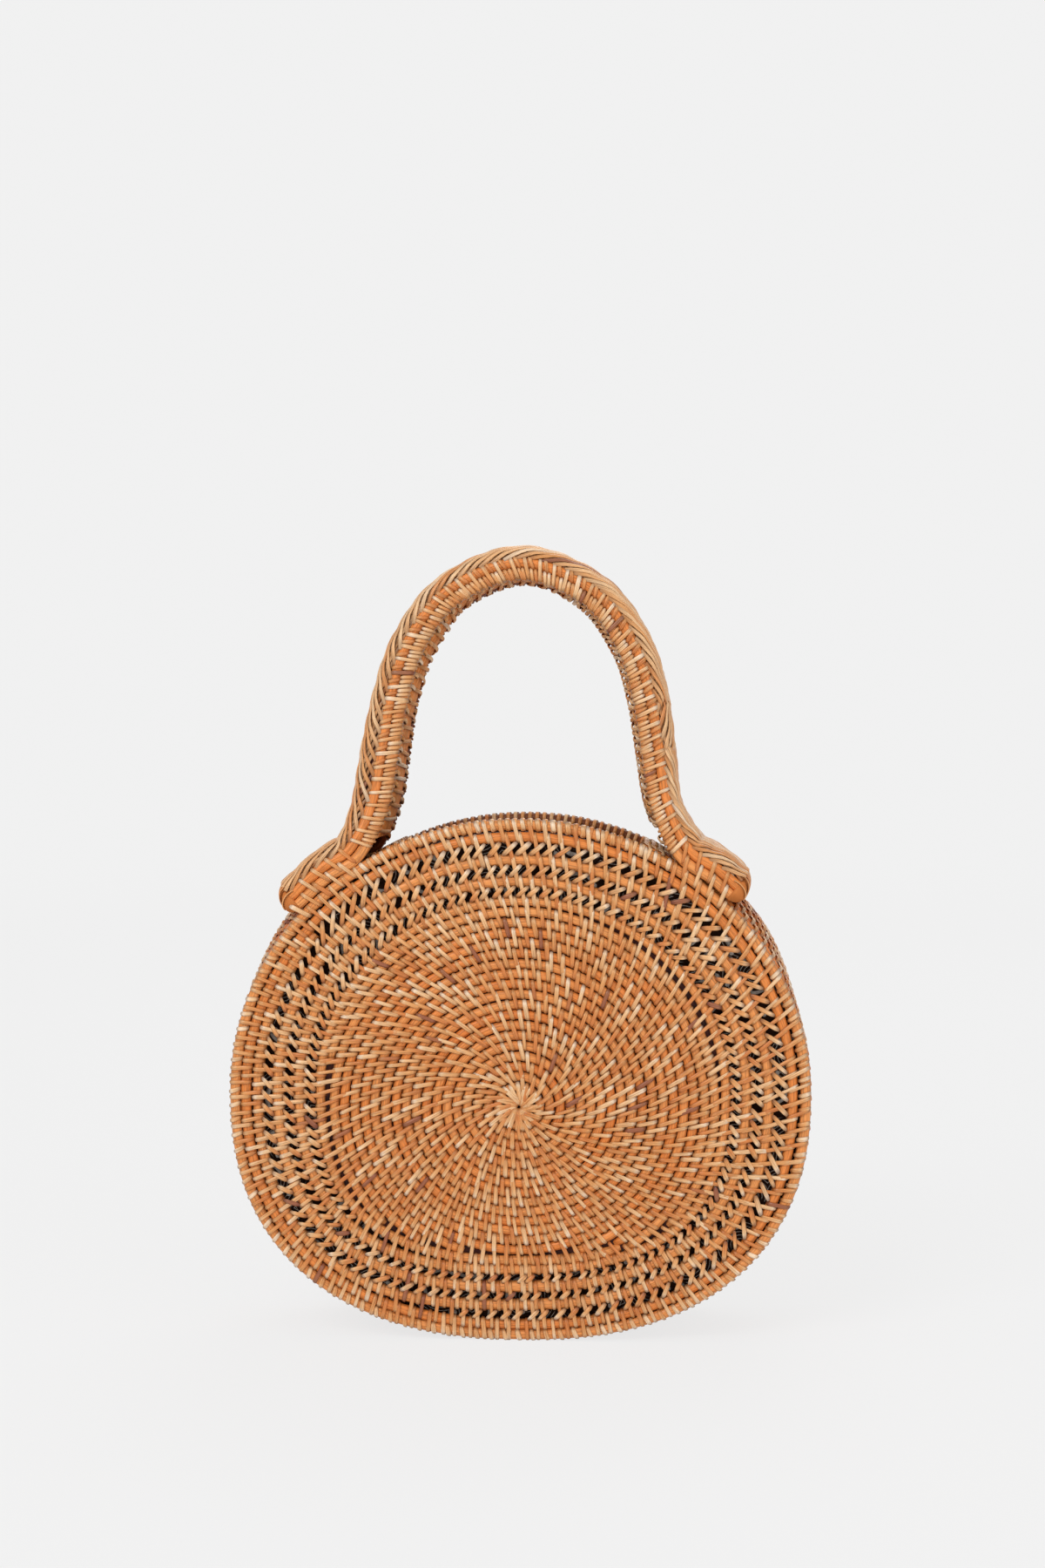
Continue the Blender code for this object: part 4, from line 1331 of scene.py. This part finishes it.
def toe_out(share):
    """How far out a foot's rounded end reaches, by the share of its half depth."""
    crown = np.clip(1 - np.abs(share) ** BRAID_SQUARENESS, 0, 1) ** (1 / BRAID_SQUARENESS)
    return BRAID_BASE + BRAID_RISE * crown - 1.2 * MM


def toe_section(point, normal, along, edge, turn):
    """One section of a foot's rounded end, at this angle round it."""
    reach, scale = TOE_LENGTH * math.sin(turn), math.cos(turn)
    shares = np.linspace(-1, 1, 13)
    under = np.where(np.abs(shares) > 0.9, -TOE_UNDER, TOE_NOTCH)[::-1]
    out = np.concatenate([toe_out(shares), under]) * scale
    y = np.concatenate([shares, shares[::-1]]) * edge * (0.9 + 0.1 * scale)
    return beside(point + along * reach, normal, out, y)


class BAG_OT_bind_feet(bpy.types.Operator):
    """Rounds the ends of both feet and binds them with split cane"""

    bl_idname = "bag.bind_feet"
    bl_label = "Bind feet"

    def execute(self, context):
        canes, _, finishes = chosen(context)
        arc = np.linspace(-0.15, 0.5, 12) * math.pi
        sine, cosine = np.sin(arc)[:, None], np.cos(arc)
        for end, word in ((-1, "left"), (1, "right")):
            (point,), (normal,), (half,) = HANDLE.at(np.array([0.0 if end < 0 else HANDLE.length]))
            along = -quarter_turn(normal) * end
            edge = half + canes.handle_rod / 2
            turns = np.linspace(0, math.pi / 2, 7)[:-1]
            rings = [toe_section(point, normal, along, edge, turn) for turn in turns]
            cap = ring_shell(word + "_toe", rings, strip_finish(finishes, True))
            settle(cap, [word + "_foot_binding"])
            lines = []
            for y in np.linspace(-edge, edge, TOE_STRIPS):
                out = toe_out(y / edge) * cosine
                lines.append(beside(point + along * TOE_LENGTH * sine, normal, out, y * (0.9 + 0.1 * cosine)))
            strips = Strands(71 + end)
            strips.add(lines, upright(along * sine + normal * cosine[:, None]), tones=(0.1, 0.8))
            binding = strips.bake(word + "_toe_lashing", strip_size(canes), strip_finish(finishes))
            settle(binding, [word + "_foot_binding"])
        return {"FINISHED"}


# Lining
def cloth_finish(settings, hem=False):
    """Dark cotton with a woven face, which all but the hem has printed with loose rings, dots and dashes."""

    def paint(tree):
        x = tree.node("ShaderNodeSeparateXYZ", None, {0: tree.place()})
        depth, height = x.other(1), x.other(2)
        flat = tree.vector(x + depth * 0.6, height + depth * 0.35, 0.0)
        threads = tree.noise(flat, 900.0, 2.0, 0.7)
        base = tree.mix(tree.smooth(threads, 0.3, 0.7), settings.cloth, CLOTH_THREAD)
        if not hem:
            cells, small = (
                tree.node(
                    "ShaderNodeTexVoronoi", {"voronoi_dimensions": "2D"},
                    {"Vector": flat, "Scale": scale, "Randomness": randomness}, out="Distance",
                )
                for scale, randomness in ((40.0, 0.7), (90.0, 0.8))
            )
            rings = tree.smooth((cells * 96.0 + tree.noise(flat, 55.0, 1.0) * 5.0).math("SINE"), 0.72, 0.94)
            fine = rings * tree.smooth(tree.noise(flat, 46.0, 1.0), 0.46, 0.5) * 0.8
            dashes = tree.smooth((cells - 0.34).math("ABSOLUTE"), 0.02, 0.04, 1.0, 0.0)
            dashes = dashes * tree.smooth(tree.noise(flat, 30.0, 1.0), 0.5, 0.53)
            dots = tree.smooth(small, 0.08, 0.11, 1.0, 0.0)
            marks = fine.math("MAXIMUM", dashes.math("MAXIMUM", dots))
            marks = marks * tree.smooth(threads, 0.25, 0.6, 0.6, 1.0)
            base = tree.mix(marks * 0.85, base, settings.print_pale)
        bump = tree.bump(threads, 0.5, 0.15 * MM)
        return {"Base Color": base, "Normal": bump, "Roughness": 0.9, "Specular IOR Level": 0.1}

    return finish_named("hem_cloth" if hem else "printed_cloth", paint)


def cloth_strip(name, middle, half, through, finish):
    """A thin closed strip of cloth: points along its middle, the way across it, and the way through it."""
    sides = (middle - half, middle + half, middle + half + through, middle - half + through)
    return ring_shell(name, list(zip(*sides)), finish)


def lining_cut():
    """The outline of a panel's lining, as plane points."""
    whole = np.arange(len(EDGE_POINTS))
    run = lengths_along(ring_at(LINING_INSET, whole)[0])
    ring, _ = ring_at(LINING_INSET, np.interp(np.arange(160) / 160 * run[-1], run, whole))
    ring[:, 1] = np.minimum(ring[:, 1], PANEL_HEIGHT - LINING_INSET - LINING_DROP)
    return ring


def polygon_area(points):
    x, z = points[:, 0], points[:, 1]
    return abs(float(np.dot(x, np.roll(z, -1)) - np.dot(z, np.roll(x, -1)))) / 2


def lining_panel(name, cut, facing, finish):
    """A panel of the lining, stretched against the weave, with the slight dimples that the rods press in."""
    centre, rings, count = np.array(COIL_CENTRE), 22, len(cut)
    points, faces = [], []
    for layer in (0.0, LINING_THICKNESS):
        for row in range(1, rings + 1):
            plane = centre + (cut - centre) * (row / rings)
            wave = 0.12 * MM * np.sin(plane[:, 0] * 310 + row * 1.7) * np.cos(plane[:, 1] * 270)
            points.extend(at_depth(plane, facing * (LINING_PLANE + layer + wave * (row < rings))))
    for layer in (0, 1):
        start, middle = layer * rings * count, len(points)
        points.append((centre[0], facing * (LINING_PLANE + layer * LINING_THICKNESS), centre[1]))
        faces += [[start + k, start + (k + 1) % count, middle] for k in range(count)]
        for row in range(rings - 1):
            faces += belt(start + row * count, start + (row + 1) * count, count)
    faces += belt((rings - 1) * count, (2 * rings - 1) * count, count)
    return smooth_piece(name, points, faces, finish)


class BAG_OT_sew_lining(bpy.types.Operator):
    """Lays the printed lining inside the panels and the gusset, with a hem along the mouth"""

    bl_idname = "bag.sew_lining"
    bl_label = "Sew lining"

    def execute(self, context):
        finishes = chosen(context)[2]
        cloth, hem_cloth = cloth_finish(finishes), cloth_finish(finishes, hem=True)
        cut = lining_cut()
        top = EDGE_POINTS[:QUARTER] - EDGE_NORMALS[:QUARTER] * (LINING_INSET + LINING_DROP)
        x = np.linspace(-HEM_HALF_LENGTH, HEM_HALF_LENGTH, 60)
        seam = np.stack([x, np.interp(np.abs(x), top[:, 0], top[:, 1]) - HEM_WIDTH / 2], axis=1)
        for facing, word in ((-1, "front"), (1, "back")):
            piece = lining_panel(word + "_lining_cloth", cut, facing, cloth)
            settle(piece, [word + "_lining"])
            half, through = np.array([[0.0, 0.0, HEM_WIDTH / 2], [0.0, -facing * LINING_THICKNESS, 0.0]])
            hem = cloth_strip(word + "_hem", at_depth(seam, facing * HEM_PLANE), half, through, hem_cloth)
            settle(hem, [word + "_lining_hem"])
            polygon_area(cut)
        points, normals, _ = gusset_line(240)
        points = points - normals * GUSSET_LINING_INSET
        half_width = LINING_PLANE - 0.3 * MM
        half, through = np.array([0.0, half_width, 0.0]), -upright(normals) * LINING_THICKNESS
        piece = cloth_strip("gusset_lining_cloth", upright(points), half, through, cloth)
        settle(piece, ["gusset_lining"])
        run = float(lengths_along(points)[-1])
        return {"FINISHED"}


# Stage
class BAG_OT_set_stage(bpy.types.Operator):
    """Sets the floor, the lamps and the camera"""

    bl_idname = "bag.set_stage"
    bl_label = "Set stage"

    def execute(self, context):
        scene = context.scene
        build_floor(scene.bag_finishes)
        build_lamps(scene)
        camera = bpy.data.cameras.new("camera")
        camera.lens = CAMERA_LENS
        camera.clip_start = 0.05
        scene.camera = aimed("camera", camera, CAMERA_PLACE, CAMERA_TARGET)
        scene.view_settings.view_transform = "Standard"
        return {"FINISHED"}


def aimed(name, data, place, target):
    """An object in this place that looks at the target."""
    obj = placed(name, data)
    obj.location = place
    obj.rotation_euler = (Vector(target) - Vector(place)).to_track_quat("-Z", "Y").to_euler()
    return obj


def floor_finish(finishes):
    """Pale paper, which glows where it is seen directly so that it stays even from edge to edge."""

    def paint(tree):
        grain = tree.noise(tree.place(), 40.0)
        base = tree.mix(tree.smooth(grain, 0.3, 0.7, 0.0, 0.02), finishes.floor, (0.8, 0.8, 0.8))
        return {"Base Color": base, "Roughness": 0.9}

    material = finish_named("floor_paper", paint)
    tree, nodes = Tree(material.node_tree), material.node_tree.nodes
    path = tree.node("ShaderNodeLightPath")
    seen = path + path.other("Is Glossy Ray") + path.other("Is Transmission Ray")
    depth = tree.node("ShaderNodeSeparateXYZ", None, {0: tree.place()}).other(1)
    share = tree.smooth(depth, 0.5, 3.5, 0.86, 0.97)
    glow = tree.node("ShaderNodeEmission", None, {"Color": (*finishes.floor, 1), "Strength": 1.0})
    paper = Wire(tree, nodes["Principled BSDF"].outputs[0])
    blend = tree.node("ShaderNodeMixShader", None, {0: seen * share, 1: paper, 2: glow})
    tree.fill(nodes["Material Output"], {"Surface": blend})
    return material


def build_floor(finishes):
    """A pale floor that sweeps up into a backdrop, so that no edge shows."""
    half, front, back, bend, top = 6.0, -6.0, 3.0, 1.6, 7.0
    turns = [step / 12 * math.pi / 2 for step in range(1, 13)]
    curve = [(back + bend * math.sin(turn), bend * (1 - math.cos(turn))) for turn in turns]
    profile = [(front, 0.0), (back, 0.0), *curve, (back + bend, top)]
    points = [(x, y, z) for y, z in profile for x in (-half, half)]
    faces = [(2 * k, 2 * k + 1, 2 * k + 3, 2 * k + 2) for k in range(len(profile) - 1)]
    data = plain_mesh("floor", points, faces, floor_finish(finishes))
    data.shade_smooth()
    floor = placed("floor", data)


def build_lamps(scene):
    """Area lamps that look at the bag, under a dim white sky."""
    scene.world = bpy.data.worlds.new("studio")
    scene.world.use_nodes = True
    background = scene.world.node_tree.nodes["Background"]
    background.inputs["Color"].default_value = (1, 1, 1, 1)
    background.inputs["Strength"].default_value = SKY_STRENGTH
    for name, place, size, power in LAMPS:
        lamp = bpy.data.lights.new(name, "AREA")
        lamp.size = size
        lamp.energy = power
        aimed(name, lamp, place, LAMP_TARGET)


class BAG_PT_looks(bpy.types.Panel):
    """Lists the steps that dress the bag"""

    bl_label = "Rattan bag"
    bl_idname = "BAG_PT_looks"
    bl_space_type = "VIEW_3D"
    bl_region_type = "UI"
    bl_category = "Rattan Bag"

    def draw(self, context):
        for step in STEPS:
            self.layout.operator(step.bl_idname)
        for group in chosen(context):
            for key in group.bl_rna.properties.keys():
                if key not in ("rna_type", "name"):
                    self.layout.prop(group, key)


STEPS = (
    BAG_OT_weave_coils,
    BAG_OT_weave_rims,
    BAG_OT_weave_gusset,
    BAG_OT_lay_handle_rods,
    BAG_OT_braid_handle,
    BAG_OT_weave_inner_face,
    BAG_OT_bind_feet,
    BAG_OT_sew_lining,
    BAG_OT_set_stage,
)
SETTINGS = {"bag_canes": CaneSizes, "bag_weave": WeaveSizes, "bag_finishes": Finishes}
CLASSES = (*SETTINGS.values(), *STEPS, BAG_PT_looks)


def register():
    for each in CLASSES:
        bpy.utils.register_class(each)
    for name, group in SETTINGS.items():
        setattr(bpy.types.Scene, name, bpy.props.PointerProperty(type=group))


def unregister():
    for name in SETTINGS:
        delattr(bpy.types.Scene, name)
    for each in reversed(CLASSES):
        bpy.utils.unregister_class(each)


def main():
    register()
    bpy.ops.bag.weave_coils()
    bpy.ops.bag.weave_rims()
    bpy.ops.bag.weave_gusset()
    bpy.ops.bag.lay_handle_rods()
    bpy.ops.bag.braid_handle()
    bpy.ops.bag.weave_inner_face()
    bpy.ops.bag.bind_feet()
    bpy.ops.bag.sew_lining()
    bpy.ops.bag.set_stage()


if __name__ == "__main__":
    main()
